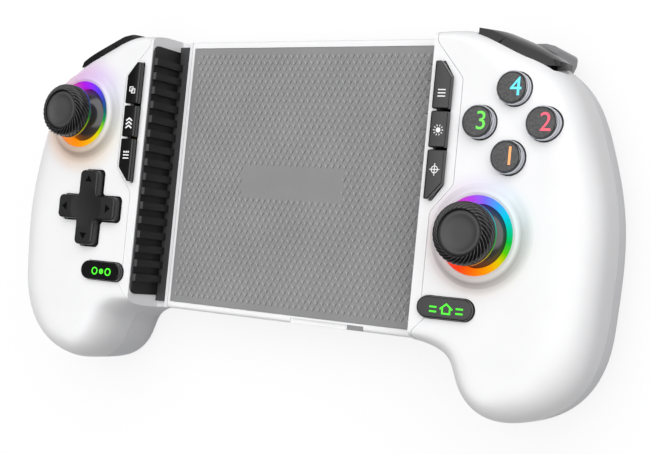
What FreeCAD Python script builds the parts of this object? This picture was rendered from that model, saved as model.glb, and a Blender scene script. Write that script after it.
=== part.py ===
# Telescopic phone gamepad: two grips joined by a bridge, the left one sliding out on a tongue.
# Every sub-part is drawn about the middle of the phone slot, with Z up out of the face and Z = 0 on the face,
# and its placement then stands the gamepad on its back.
import FreeCAD, Part
import math
import os
import re

doc = FreeCAD.newDocument("Gamepad")
sheet = doc.addObject("Spreadsheet::Sheet", "Sizes")

DRIVING_SIZES = {
    # Whole body
    "slot_y": 10.28,
    "body_depth": 36.0,
    "slot_width": 112.0,
    "grip_width": 56.8,
    "shoulder": 48.0,
    "horn": 69.6,
    "widest_drop": 13.1,
    "seam_drop": 18.35,
    "front_round": 11.2,
    "rear_round": 16.6,
    "horn_bend": 2.6,
    "wall": 2.2,
    "seam_gap": 0.2,
    "play": 0.3,
    # Bridge, mat and ledges
    "mat_drop": 15.3,
    "mat_thickness": 0.8,
    "mat_half": 45.5,
    "mat_border": 1.0,
    "base_reach": 5.5,
    "ledge_rim": 1.2,
    "bridge_depth": 12.2,
    "cover_thickness": 2.0,
    "tray_wall": 1.8,
    "tongue_half": 40.0,
    "tongue_thickness": 4.0,
    "tongue_stop": 6.0,
    "tongue_root": 10.0,
    "tab_half": 36.0,
    "stop_window": 28.7,
    "stop_length": 6.2,
    "stop_end_x": 31.5,
    "stop_width": 1.7,
    # Jaw frames and pads
    "strip_width": 10.8,
    "pad_half": 44.0,
    "pad_proud": 0.5,
    "pad_seat": 0.8,
    "foot_thickness": 1.6,
    "foot_width": 4.2,
    "foot_half": 46.0,
    "rib_pitch": 5.1,
    "rib_width": 2.5,
    "rib_proud": 1.4,
    "rib_pairs": 8.0,
    # Boards, membranes, battery, socket
    "board_drop": 14.4,
    "board_thickness": 1.6,
    "membrane_thickness": 0.8,
    "dome_rise": 2.6,
    "dome_radius": 2.8,
    "battery_length": 40.0,
    "battery_width": 22.0,
    "battery_thickness": 8.0,
    "socket_width": 8.94,
    "socket_thickness": 3.26,
    "socket_depth": 7.3,
    "socket_in": 3.6,
    "socket_drop": 20.6,
    # Sticks
    "left_stick_in": 29.2,
    "left_stick_y": 18.6,
    "right_stick_in": 20.5,
    "right_stick_y": -14.8,
    "pivot_drop": 10.0,
    "dome_ball": 12.5,
    "dome_shell": 1.2,
    "ring_inner": 9.7,
    "ring_outer": 11.95,
    "ring_rise": 1.4,
    "collar_crest": 12.9,
    "collar_outer": 15.8,
    "collar_rise": 1.9,
    "neck_radius": 4.6,
    "cap_radius": 9.5,
    "cap_low": 6.6,
    "cap_top": 12.8,
    "disc_radius": 6.9,
    "shaft_radius": 1.5,
    "shaft_tail": 2.6,
    "cap_roof": 2.4,
    "module_width": 15.0,
    "module_rise": 6.6,
    "module_wall": 1.2,
    "rocker_inner": 3.7,
    "rocker_outer": 4.9,
    "rocker_width": 5.0,
    "rocker_pin": 1.0,
    # Direction cross
    "cross_in": 20.9,
    "cross_y": -15.1,
    "cross_span": 26.7,
    "cross_arm": 8.4,
    "cross_rise": 3.3,
    "cross_gap": 0.6,
    "cross_flange": 14.4,
    "cross_pivot_drop": 7.0,
    "cross_ball": 2.2,
    "dish_radius": 90.0,
    "dish_depth": 0.3,
    # Buttons
    "face_in": 28.4,
    "face_y": 19.0,
    "face_offset": 10.23,
    "face_radius": 5.1,
    "face_rise": 3.2,
    "lens_wall": 0.65,
    "button_foot_drop": 9.4,
    "flange_reach": 0.9,
    "flange_thickness": 1.0,
    "side_inner": 3.1,
    "side_width": 4.3,
    "side_rise": 2.8,
    "side_gap": 0.6,
    "side_top_y": 37.4,
    "side_upper_y": 22.3,
    "side_lower_y": 10.5,
    "side_bottom_y": -4.9,
    "side_chamfer": 4.9,
    "pill_in": 12.4,
    "pill_y": -37.2,
    "pill_length": 18.6,
    "pill_width": 6.5,
    "pill_rise": 1.8,
    # Shoulders
    "bumper_start": 13.0,
    "bumper_end": 40.0,
    "bumper_fall": 2.4,
    "bumper_high": 3.4,
    "bumper_low": 13.6,
    "bumper_proud": 1.2,
    "bumper_inside": 3.2,
    "bumper_room": 12.4,
    "bumper_hinge": 3.4,
    "bumper_hinge_in": 6.4,
    "trigger_start": 13.0,
    "trigger_end": 34.6,
    "trigger_high": 14.6,
    "trigger_low": 30.6,
    "trigger_reach": 17.2,
    "trigger_taper": 3.6,
    "trigger_hinge_y": 31.0,
    "trigger_hinge_drop": 20.0,
    "trigger_hub": 2.8,
    "shoulder_pin": 1.2,
    "running": 0.06,
    "rib_thickness": 2.0,
    # Fasteners
    "boss_radius": 2.9,
    "screw_radius": 1.1,
    "screw_head": 2.3,
    "screw_head_height": 1.6,
    "screw_recess": 3.4,
    # Springs and cable
    "spring_y": 29.0,
    "spring_radius": 2.2,
    "spring_bore": 1.5,
    "spring_anchor": 12.0,
    "spring_post": 1.2,
    "cable_width": 9.0,
    "cable_thickness": 0.3,
    "cable_start": 6.0,
    "cable_lane": 18.0,
}

for row, (alias, value) in enumerate(DRIVING_SIZES.items(), start=1):
    sheet.set(f"A{row}", alias)
    sheet.set(f"B{row}", str(value))
    sheet.setAlias(f"B{row}", alias)
doc.recompute()

FUNCTIONS = ("sin", "cos", "tan", "sqrt", "abs", "min", "max")
nodes = []
places = {}


def vector(x=0.0, y=0.0, z=0.0):
    return FreeCAD.Vector(x, y, z)


def size(formula):
    # A formula of size names, worked out from the sheet.
    names = set(re.findall(r"[a-z][a-z_]+", str(formula))) - set(FUNCTIONS)
    total = str(formula)
    for name in sorted(names, key=len, reverse=True):
        total = re.sub(rf"\b{name}\b", repr(float(getattr(sheet, name))), total)
    return float(FreeCAD.Units.Quantity(total).Value)


def cells(formula):
    # The same formula with each size name written as the sheet's cell.
    return re.sub(
        r"[a-z][a-z_]+",
        lambda word: word.group(0) if word.group(0) in FUNCTIONS else "Sizes." + word.group(0),
        str(formula),
    )


def bind(item, prop, formula):
    item.setExpression(prop, cells(formula))


def put(item, x="0", y="0", z="0"):
    places[item.Name] = (x, y, z)
    for axis, formula in zip("xyz", (x, y, z)):
        bind(item, "Placement.Base." + axis, formula)
    return item


def block(x, y, z):
    item = doc.addObject("Part::Box", "Block")
    for prop, (low, high) in zip(("Length", "Width", "Height"), (x, y, z)):
        bind(item, prop, f"({high}) - ({low})")
    return put(item, x[0], y[0], z[0])


TURNS = {
    "x": FreeCAD.Rotation(vector(0, 1, 0), 90),
    "y": FreeCAD.Rotation(vector(1, 0, 0), -90),
    "z": FreeCAD.Rotation(),
}


def rod(radius, start, length, along="z"):
    item = doc.addObject("Part::Cylinder", "Rod")
    item.Placement = FreeCAD.Placement(vector(), TURNS[along])
    bind(item, "Radius", radius)
    bind(item, "Height", length)
    return put(item, *start)


def ball(radius, x, y, z):
    item = doc.addObject("Part::Sphere", "Ball")
    bind(item, "Radius", radius)
    return put(item, x, y, z)


def cone(low_radius, high_radius, start, length):
    item = doc.addObject("Part::Cone", "Cone")
    bind(item, "Radius1", low_radius)
    bind(item, "Radius2", high_radius)
    bind(item, "Height", length)
    return put(item, *start)


def joined(*items):
    if len(items) == 1:
        return items[0]
    item = doc.addObject("Part::MultiFuse", "Joined")
    item.Shapes = list(items)
    return item


def without(base, *tools):
    item = doc.addObject("Part::Cut", "Without")
    item.Base = base
    item.Tool = joined(*tools)
    return item


def shared(base, tool):
    item = doc.addObject("Part::Common", "Shared")
    item.Base = base
    item.Tool = tool
    return item


def group(*items):
    item = doc.addObject("Part::Compound", "Group")
    item.Links = list(items)
    return item


def solid(shape):
    item = doc.addObject("Part::Feature", "Form")
    item.Shape = shape
    return item


def name_node(item, label):
    # The node's own placement: from the middle of the slot on the face to the point that it stands on.
    x, y, z = places.get(item.Name, ("0", "0", "0"))
    bind(item, "Placement.Base.x", x)
    bind(item, "Placement.Base.y", f"{y} + slot_y")
    bind(item, "Placement.Base.z", f"{z} + body_depth")
    item.Label = label
    nodes.append(item)
    return item


def mirrored(source):
    item = doc.addObject("Part::Mirroring", "Mirrored")
    item.Source = source
    item.Base = vector()
    item.Normal = vector(1, 0, 0)
    return item


def side_node(side, source, name):
    # A node drawn on the right, named there or mirrored to the left.
    if side == "right":
        return name_node(source, "right_" + name)
    return name_node(mirrored(source), "left_" + name)


def both_sides(source, name):
    # A node drawn on the right and its mirror image on the left.
    right = name_node(source, "right_" + name)
    left = mirrored(right)
    left.Label = "left_" + name
    nodes.append(left)


def body_plane(body, role):
    return [plane for plane in body.Origin.OriginFeatures if plane.Role == role][0]


def rounded_loop(corners):
    # Lines and corner arcs through (x, y, radius) corners, for a sketch.
    edges = []
    ends = []
    count = len(corners)
    for index, (x, y, radius) in enumerate(corners):
        here = vector(x, y)
        back = vector(*corners[index - 1][:2]) - here
        ahead = vector(*corners[(index + 1) % count][:2]) - here
        if radius <= 0:
            ends.append((here, here))
            continue
        half = back.getAngle(ahead) / 2
        reach = radius / math.tan(half)
        start = here + back.normalize() * reach
        end = here + ahead.normalize() * reach
        middle = here + (back + ahead).normalize() * (radius / math.sin(half))
        bulge = middle + (here - middle).normalize() * radius
        edges.append(arc_through(start, bulge, end, middle, radius))
        ends.append((start, end))
    for index in range(count):
        start = ends[index][1]
        end = ends[(index + 1) % count][0]
        if (end - start).Length > 1e-6:
            edges.append(Part.LineSegment(start, end))
    return edges


def arc_through(start, bulge, end, middle, radius):
    angles = [math.atan2((point - middle).y, (point - middle).x) for point in (start, bulge, end)]
    circle = Part.Circle(middle, vector(0, 0, 1), radius)
    sweep = (angles[2] - angles[0]) % (2 * math.pi)
    passes = (angles[1] - angles[0]) % (2 * math.pi)
    if passes <= sweep:
        return Part.ArcOfCircle(circle, angles[0], angles[0] + sweep)
    return Part.ArcOfCircle(circle, angles[2], angles[2] + (2 * math.pi - sweep))


def plate(corners, low, high, soft=0.0, role="XY_Plane"):
    # A padded sketch between two heights along its plane's normal, with its far face's edges rounded.
    body = doc.addObject("PartDesign::Body", "Plate")
    sketch = body.newObject("Sketcher::SketchObject", "Outline")
    sketch.AttachmentSupport = [(body_plane(body, role), "")]
    sketch.MapMode = "FlatFace"
    sketch.AttachmentOffset = FreeCAD.Placement(vector(0, 0, size(low)), FreeCAD.Rotation())
    sketch.addGeometry(rounded_loop(corners), False)
    pad = body.newObject("PartDesign::Pad", "Thickness")
    pad.Profile = sketch
    bind(pad, "Length", f"({high}) - ({low})")
    if soft:
        doc.recompute()
        normal = vector(1, 0, 0) if role == "YZ_Plane" else vector(0, 0, 1)
        heights = [face.CenterOfMass.dot(normal) for face in pad.Shape.Faces]
        fillet = body.newObject("PartDesign::Fillet", "Softening")
        fillet.Base = (pad, [f"Face{heights.index(max(heights)) + 1}"])
        fillet.Radius = soft
    return body


def turned(profile, x, y):
    # A revolved sketch of (radius, height) points about a vertical axis.
    body = doc.addObject("PartDesign::Body", "Turned")
    sketch = body.newObject("Sketcher::SketchObject", "Profile")
    sketch.AttachmentSupport = [(body_plane(body, "XZ_Plane"), "")]
    sketch.MapMode = "FlatFace"
    points = [vector(radius, height) for radius, height in profile]
    loop = [Part.LineSegment(points[i - 1], points[i]) for i in range(len(points))]
    sketch.addGeometry(loop, False)
    turn = body.newObject("PartDesign::Revolution", "Turn")
    turn.Profile = sketch
    turn.ReferenceAxis = (sketch, ["V_Axis"])
    turn.Angle = 360
    return put(body, x, y, "0")


# Outline of the right grip where it is widest: how far across the grip from the jaw wall, how far along
# (shares of the shoulder above, of the horn below), and how strongly front and rear are rounded there.
def grip_outline():
    jaw = size("slot_width / 2")
    across = size("grip_width")
    up = size("shoulder")
    down = size("horn")
    return [
        (jaw - 0.180 * across, up, 0.26, 0.30),
        (jaw, up, 0.28, 0.35),
        (jaw + 0.195 * across, 1.004 * up, 0.45, 0.60),
        (jaw + 0.393 * across, 0.935 * up, 0.80, 0.85),
        (jaw + 0.599 * across, 0.827 * up, 1.00, 1.00),
        (jaw + 0.745 * across, 0.694 * up, 1.00, 1.00),
        (jaw + 0.835 * across, 0.529 * up, 1.00, 1.00),
        (jaw + 0.907 * across, 0.302 * up, 1.00, 1.00),
        (jaw + 0.979 * across, 0.000 * up, 1.37, 1.08),
        (jaw + 1.011 * across, -0.260 * down, 1.37, 1.08),
        (jaw + 1.000 * across, -0.491 * down, 1.37, 1.08),
        (jaw + 0.974 * across, -0.675 * down, 1.37, 1.08),
        (jaw + 0.887 * across, -0.839 * down, 1.37, 1.08),
        (jaw + 0.731 * across, -0.947 * down, 1.05, 0.52),
        (jaw + 0.567 * across, -0.996 * down, 0.95, 0.41),
        (jaw + 0.431 * across, -0.993 * down, 0.79, 0.30),
        (jaw + 0.326 * across, -0.944 * down, 0.74, 0.28),
        (jaw + 0.252 * across, -0.859 * down, 0.75, 0.29),
        (jaw + 0.199 * across, -0.760 * down, 0.65, 0.29),
        (jaw + 0.097 * across, -up - 0.069 * (down - up), 0.47, 0.29),
        (jaw - 0.040 * across, -up, 0.28, 0.35),
        (jaw - 0.180 * across, -up, 0.26, 0.30),
    ]


def rounding(share, power):
    # Superellipse: 0 at the widest plane, 1 where the side has turned flat.
    return 1 - (1 - min(share, 1.0) ** power) ** (1 / power)


def grip_section(height, front_share, rear_share, skin):
    # The outline at one height, each point moved along its inward normal.
    outline = grip_outline()
    front = size("front_round") * rounding(front_share, 2.56)
    rear = size("rear_round") * rounding(rear_share, 3.58)
    bend = size("horn_bend") * (1 - max(front_share, rear_share) ** 2)
    horn = size("horn")
    last = len(outline) - 1
    points = []
    for index, (x, y, front_part, rear_part) in enumerate(outline):
        if index < 2 or index > last - 2:
            inward = vector(0, -math.copysign(1, y))
        else:
            back, ahead = outline[index - 1], outline[index + 1]
            inward = vector(ahead[1] - back[1], back[0] - ahead[0]).normalize()
        moved = vector(x, y) + inward * (skin + front * front_part + rear * rear_part)
        along_horn = max(0.0, -y / horn - 0.157) / 0.843
        points.append(vector(moved.x, moved.y, height - bend * along_horn ** 2))
    curve = Part.BSplineCurve()
    curve.interpolate(points)
    return Part.Wire([curve.toShape(), Part.makeLine(points[-1], points[0])])


def grip_form(skin):
    # The right grip's closed form, its surface moved inward by the skin (outward where it is negative).
    inset = max(skin, 0.0)
    widest = size("widest_drop")
    depth = size("body_depth")
    wires = []
    for share in (1.0, 0.97, 0.90, 0.78, 0.60, 0.35):
        height = -widest - share * (depth - inset - widest)
        wires.append(grip_section(height, 0.0, share, skin))
    wires.append(grip_section(-widest, 0.0, 0.0, skin))
    for share in (0.35, 0.60, 0.78, 0.90, 0.97, 1.0):
        height = -widest + share * (widest - inset)
        wires.append(grip_section(height, share, 0.0, skin))
    return Part.makeLoft(wires, True, False)


outer_form = grip_form(0.0)
inner_form = grip_form(size("wall"))

JAW = "slot_width / 2"
BASE = f"({JAW} - base_reach)"
STICKS = {side: (f"({JAW} + {side}_stick_in)", f"{side}_stick_y") for side in ("right", "left")}
CROSS_X = f"({JAW} + cross_in)"
FACE_X = f"({JAW} + face_in)"
PILL_X = f"({JAW} + pill_in)"
SOCKET_X = f"({JAW} + socket_in)"
FRAME_WALL = f"({JAW} + wall)"
LEDGE = "(-mat_drop - foot_thickness)"
LEDGE_UNDER = "(-mat_drop - cover_thickness - 1.1)"
TONGUE_TOP = "(-mat_drop - mat_thickness - cover_thickness - play)"
TONGUE_LOW = f"({TONGUE_TOP} - tongue_thickness)"
TRAY_LOW = "(-mat_drop - bridge_depth)"
BOARD_TOP = "(-board_drop)"
PANEL_UNDER = "(-wall)"
FAR = "200"


def strip_corners(gap):
    # Face outline of the jaw frame: a strip that widens round the side buttons.
    jaw = size(JAW)
    wide = size(f"{JAW} + strip_width") + gap
    narrow = size(f"{JAW} + side_inner") + 0.5 + gap
    top = size("side_top_y")
    low = size("side_bottom_y")
    pill_low = size("pill_y - pill_width / 2")
    pill_high = size("pill_y + pill_width / 2")
    chamfer = size("side_chamfer")
    reach = size("shoulder") + 4
    return [
        (jaw - 16, reach, 0),
        (jaw + 1 + gap, reach, 0),
        (jaw + 1 + gap, top + 6.4, 3.0),
        (wide, top - chamfer, 3.0),
        (wide, low + chamfer, 3.0),
        (narrow, low - 3.6, 4.0),
        (narrow, pill_high - 0.2, 1.2),
        (narrow + 1.6, pill_high - 2.0, 0.8),
        (narrow + 1.6, pill_low - 0.4, 2.0),
        (jaw + 1 + gap, pill_low - 4.6, 2.4),
        (jaw + 1 + gap, -reach, 0),
        (jaw - 16, -reach, 0),
    ]


def side_buttons_outline(part, grow=0.0):
    # Outlines of the upper, middle and lower side buttons, from the jaw outward.
    inner = size(f"{JAW} + side_inner") - grow
    outer = size(f"{JAW} + side_inner + side_width") + grow
    gap = size("side_gap") / 2 - grow
    top = size("side_top_y") + grow
    upper = size("side_upper_y")
    lower = size("side_lower_y")
    low = size("side_bottom_y") - grow
    cut = size("side_chamfer")
    if part == "upper":
        tip = inner + 1.4 + grow
        return [
            (inner, upper + gap, 0.6), (outer, upper + gap, 0.6), (outer, top - cut, 1.0),
            (tip, top, 0.5), (inner, top, 0.5),
        ]
    if part == "lower":
        tip = inner + 1.0 + grow
        return [
            (inner, low, 0.4), (tip, low, 0.4), (outer, low + cut, 1.0),
            (outer, lower - gap, 0.6), (inner, lower - gap, 0.6),
        ]
    if part == "middle":
        return [
            (inner, lower + gap, 0.6), (outer, lower + gap, 0.6), (outer, upper - gap, 0.6),
            (inner, upper - gap, 0.6),
        ]
    return [
        (inner, low, 0.4), (inner + 1.0 + grow, low, 0.4), (outer, low + cut, 1.0),
        (outer, top - cut, 1.0), (inner + 1.4 + grow, top, 0.5), (inner, top, 0.5),
    ]


def pill_outline(grow=0.0):
    half = size("pill_width") / 2 + grow
    left = size(f"{PILL_X} - pill_length / 2") - grow
    right = size(f"{PILL_X} + pill_length / 2") + grow
    y = size("pill_y")
    corner = half - 0.01
    return [(left, y - half, corner), (right, y - half, corner), (right, y + half, corner), (left, y + half, corner)]


def cross_outline(grow=0.0):
    arm = size("cross_arm") / 2 + grow
    span = size("cross_span") / 2 + grow
    x = size(CROSS_X)
    y = size("cross_y")
    corners = [
        (arm, span, 1.8), (arm, arm, 1.2), (span, arm, 1.8), (span, -arm, 1.8), (arm, -arm, 1.2), (arm, -span, 1.8),
        (-arm, -span, 1.8), (-arm, -arm, 1.2), (-span, -arm, 1.8), (-span, arm, 1.8), (-arm, arm, 1.2),
        (-arm, span, 1.8),
    ]
    return [(x + dx, y + dy, radius) for dx, dy, radius in corners]


FACE_PLACES = {
    "one": (FACE_X, "face_y - face_offset"),
    "two": (f"{FACE_X} + face_offset", "face_y"),
    "three": (f"{FACE_X} - face_offset", "face_y"),
    "four": (FACE_X, "face_y + face_offset"),
}
# Screws that hold each grip's two shells and board together.
SHELL_SCREWS = [
    (f"{JAW} + grip_width * 0.63", "-horn * 0.72"),
    (f"{JAW} + grip_width * 0.66", "1.5"),
]
# Screws that hold the tongue or the tray's tab in each grip.
TONGUE_SCREWS = [(f"{JAW} + 6.6", "26"), (f"{JAW} + 6.6", "-26")]
BUMPER_HINGE = (f"{JAW} + bumper_start + bumper_hinge", "shoulder - bumper_hinge_in")
TRIGGER_HINGE = ("trigger_hinge_y", "-trigger_hinge_drop")


def collar(x, y):
    under = -0.95 * size("wall")
    rise = size("collar_rise")
    crest = size("collar_crest")
    bore = size("ring_outer + 0.1")
    profile = [
        (bore, under), (bore, rise - 0.3), (crest, rise), (crest + 0.9, 0.72 * rise), (crest + 1.8, 0.32 * rise),
        (size("collar_outer"), 0.0), (size("collar_outer"), under),
    ]
    return turned(profile, x, y)


def ribs_beside(start, end, across, heights):
    # Two bearing plates beside a bumper or a trigger.
    first = (f"{JAW} + {start} - play - rib_thickness", f"{JAW} + {start} - play")
    second = (f"{JAW} + {end} + play", f"{JAW} + {end} + play + rib_thickness")
    return [block(x, across, heights) for x in (first, second)]


def bumper_window(near, grow):
    # The bumper's opening seen from the shoulder; its upper edge falls toward the outer end.
    start = size(f"{JAW} + bumper_start") - grow
    end = size(f"{JAW} + bumper_end") + grow
    low = -size("bumper_low") - grow
    high = -size("bumper_high") + grow
    fall = size("bumper_fall")
    corners = [(start, low, 0), (end, low, 0), (end, high - fall, 1.0), (end - 5 * fall, high, 20.0), (start, high, 0)]
    return plate(corners, f"-{FAR}", f"-({near})", role="XZ_Plane")


def front_panel():
    # The front shell before its holes are cut: skin, ribs beside the bumper and screw posts.
    upper = block((BASE, FAR), (f"-{FAR}", FAR), ("-seam_drop + seam_gap / 2", "1"))
    skin = without(shared(solid(outer_form), upper), solid(inner_form))
    bumper_room = bumper_window("shoulder - bumper_room", size("play"))
    trigger_room = block(
        (f"{JAW} + trigger_start - play", f"{JAW} + trigger_end + play"),
        ("trigger_hinge_y - 4", FAR),
        ("-seam_drop - 1", "-bumper_low"),
    )
    hinge_seat = rod("shoulder_pin", BUMPER_HINGE + ("-bumper_low - play",), "bumper_low + play - wall")
    ribs = ribs_beside("bumper_start", "bumper_end", ("shoulder - bumper_room", FAR),
                       ("-seam_drop + seam_gap / 2", "-wall * 0.6"))
    posts = [
        rod("boss_radius", (x, y, "-board_drop + 0.2"), "board_drop - 0.2 - wall * 0.6") for x, y in SHELL_SCREWS
    ]
    strip = plate(strip_corners(size("seam_gap")), "-body_depth", "1")
    whole = joined(without(skin, bumper_room, trigger_room), shared(solid(outer_form), joined(*ribs)), *posts)
    return without(whole, strip, hinge_seat)


def pocket(radius, x, y):
    # Room under the skin for a round flange.
    return rod(radius, (x, y, "-4 * wall"), "3 * wall - 0.02")


def front_shell(side, panel):
    x, y = STICKS[side]
    whole = joined(panel, collar(x, y))
    holes = [
        rod("ring_outer + 0.1", (x, y, "-5"), "10"),
        pocket("ring_outer + 1.6 + play", x, y),
        plate(pill_outline(size("play")), "-5", "5"),
    ]
    holes += [rod("screw_radius", (x, y, "-board_drop"), "board_drop - wall - 1") for x, y in SHELL_SCREWS]
    if side == "right":
        for x, y in FACE_PLACES.values():
            holes.append(rod("face_radius + play", (x, y, "-5"), "10"))
            holes.append(pocket("face_radius + flange_reach + play", x, y))
    else:
        holes.append(plate(cross_outline(size("cross_gap")), "-5", "5"))
    side_node(side, without(whole, *holes), "front_shell")


def rear_tub():
    # The rear shell before the right one's cable notch and socket hole are cut.
    under_frame = shared(
        plate(strip_corners(0.0), "-body_depth - 1", "-mat_drop"),
        block((BASE, f"{FRAME_WALL} + 2"), (f"-{FAR}", FAR), ("-body_depth - 1", "0")),
    )
    lower = joined(
        block((BASE, FAR), (f"-{FAR}", FAR), ("-body_depth - 1", "-seam_drop - seam_gap / 2")),
        under_frame,
    )
    cavity = [
        shared(solid(inner_form), block((f"{BASE} + wall", FAR), (f"-{FAR}", FAR), ("-body_depth", LEDGE_UNDER))),
        shared(solid(inner_form), block((f"{FRAME_WALL} + 2", FAR), (f"-{FAR}", FAR), (f"{LEDGE_UNDER} - 1", "0"))),
    ]
    ledge_room = [
        block((f"{BASE} + ledge_rim", f"{FRAME_WALL} + seam_gap"), (f"-{FAR}", FAR), (LEDGE, "0")),
        block((f"{BASE} - 1", FRAME_WALL), (f"-{FAR}", FAR), ("-mat_drop", "0")),
    ]
    trigger_room = block(
        (f"{JAW} + trigger_start - play", f"{JAW} + trigger_end + play"),
        ("trigger_hinge_y - 4", FAR),
        ("-trigger_low - 4.2", "0"),
    )
    skin = without(shared(solid(outer_form), lower), *cavity, *ledge_room, trigger_room)
    ribs = ribs_beside("trigger_start", "trigger_end", ("trigger_hinge_y - 4.2", FAR),
                       ("-body_depth + 1", "-seam_drop - seam_gap / 2"))
    ribs += ribs_beside("trigger_start", "trigger_end", ("trigger_hinge_y - 4.2", "shoulder - bumper_room - play"),
                        ("-seam_drop - 1", "-board_drop - board_thickness - play"))
    foot = "-body_depth + 0.6"
    posts = [rod("boss_radius", (x, y, foot), f"-board_drop - board_thickness - ({foot})") for x, y in SHELL_SCREWS]
    posts += [rod("boss_radius", (x, y, foot), f"{TONGUE_LOW} - ({foot})") for x, y in TONGUE_SCREWS]
    whole = joined(skin, shared(solid(outer_form), joined(*ribs)), *posts)
    tools = [
        block((f"{BASE} - 1", f"{BASE} + wall + 1"), ("-tongue_half - play", "tongue_half + play"),
              (f"{TONGUE_LOW} - play", LEDGE_UNDER)),
        rod("shoulder_pin + running", (f"{JAW} + 4",) + TRIGGER_HINGE, "trigger_end + play + rib_thickness - 4", "x"),
    ]
    for x, y in SHELL_SCREWS + TONGUE_SCREWS:
        tools.append(rod("screw_radius + 0.2", (x, y, "-body_depth - 1"), "body_depth"))
        tools.append(rod("screw_head + 0.3", (x, y, "-body_depth - 1"), "1 + screw_recess + screw_head_height"))
    return without(whole, *tools)


def rear_shells():
    tub = rear_tub()
    cable_notch = block(
        (f"{BASE} - 1", f"{BASE} + wall + 1"),
        ("cable_lane - cable_width / 2 - 0.2", "cable_lane + cable_width / 2 + 0.2"),
        (f"{TRAY_LOW} + tray_wall - 0.05", f"{TRAY_LOW} + tray_wall + cable_thickness + 0.25"),
    )
    name_node(without(tub, cable_notch, socket_form("socket_depth + 20", 0.1)), "right_rear_shell")
    name_node(mirrored(tub), "left_rear_shell")


def jaw_frame():
    strip = plate(strip_corners(0.0), LEDGE, "1")
    whole = shared(solid(outer_form), without(strip, block(("0", JAW), (f"-{FAR}", FAR), (f"-{FAR}", FAR))))
    hollow = block((FRAME_WALL, FAR), (f"-{FAR}", FAR), (f"-{FAR}", PANEL_UNDER))
    seat = pad_slab("-pad_seat", 0.0, 0.1)
    holes = [
        plate(side_buttons_outline("all", size("play")), "-5", "5"),
        plate(pill_outline(size("play")), "-5", "5"),
    ]
    both_sides(without(whole, hollow, seat, *holes), "jaw_frame")


def pad_slab(low, depth, grow):
    # The pad's slab on the jaw wall, between two depths measured toward the slot.
    half = size("pad_half") + grow
    top = -0.5 + grow
    foot = size(LEDGE) - (1.0 if grow else 0.0)
    corners = [(-half, foot, 0), (half, foot, 0), (half, top, 3.0), (-half, top, 3.0)]
    return plate(corners, f"{JAW} - ({depth})", f"{JAW} - ({low})", role="YZ_Plane")


def jaw_pad():
    slab = pad_slab("-pad_seat", size("pad_proud"), 0.0)
    foot = block((f"{JAW} - foot_width", JAW), ("-foot_half", "foot_half"), (LEDGE, f"{LEDGE} + foot_thickness"))
    ribs = []
    for index in range(int(2 * size("rib_pairs"))):
        middle = f"rib_pitch * ({index} - rib_pairs + 0.5)"
        ribs.append(block((f"{JAW} - pad_proud - rib_proud", JAW),
                          (f"{middle} - rib_width / 2", f"{middle} + rib_width / 2"),
                          (f"{LEDGE} + foot_thickness / 2", "-0.9")))
    both_sides(joined(slab, foot, *ribs), "jaw_pad")


def light_ring(side):
    inner = size("ring_inner")
    outer = size("ring_outer")
    rise = size("ring_rise")
    flange = -size("wall") - 0.05
    profile = [
        (inner, -1.6), (inner, 0.45 * rise), (inner + 0.7, 0.6 * rise), (outer, rise), (outer, flange),
        (outer + 1.6, flange), (outer + 1.6, -3.4), (outer - 0.8, -3.4), (outer - 0.8, -1.6),
    ]
    side_node(side, turned(profile, *STICKS[side]), "light_ring")


def stick_module(side):
    x, y = STICKS[side]
    half = "module_width / 2"
    box = block((f"{x} - {half}", f"{x} + {half}"), (f"{y} - {half}", f"{y} + {half}"),
                (BOARD_TOP, f"{BOARD_TOP} + module_rise"))
    room = block((f"{x} - {half} + module_wall", f"{x} + {half} - module_wall"),
                 (f"{y} - {half} + module_wall", f"{y} + {half} - module_wall"),
                 (f"{BOARD_TOP} + 0.8", "0"))
    pin_room = rod("rocker_pin + running", (f"{x} - {half} - 1", y, "-pivot_drop"), "module_width + 2", "x")
    side_node(side, without(box, room, pin_room), "stick_module")


def stick_rocker(side):
    # Arch that swings on two pins; the shaft stands in its slot.
    x, y = STICKS[side]
    arch = without(
        rod("rocker_outer", (x, f"{y} - rocker_width / 2", "-pivot_drop"), "rocker_width", "y"),
        rod("rocker_inner", (x, f"{y} - rocker_width", "-pivot_drop"), "2 * rocker_width", "y"),
        block((f"{x} - 9", f"{x} + 9"), (f"{y} - 9", f"{y} + 9"),
              ("-pivot_drop - 9", "-pivot_drop - rocker_pin - 0.4")),
        block((f"{x} - rocker_inner", f"{x} + rocker_inner"),
              (f"{y} - shaft_radius - 0.3", f"{y} + shaft_radius + 0.3"), ("-pivot_drop", "0")),
    )
    length = "module_width / 2 - rocker_inner - 0.3"
    pins = [
        rod("rocker_pin", (start, y, "-pivot_drop"), length, "x")
        for start in (f"{x} + rocker_inner + 0.3", f"{x} - module_width / 2")
    ]
    side_node(side, joined(arch, *pins), "stick_rocker")


def stick_pivot(side):
    x, y = STICKS[side]
    pivot = without(
        ball("rocker_inner - play", x, y, "-pivot_drop"),
        rod("shaft_radius + running", (x, y, "-pivot_drop - 9"), "18"),
    )
    side_node(side, pivot, "stick_pivot")
    shaft = rod("shaft_radius", (x, y, "-pivot_drop - shaft_tail"), "pivot_drop + shaft_tail + cap_top - cap_roof")
    side_node(side, shaft, "stick_shaft")


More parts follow.
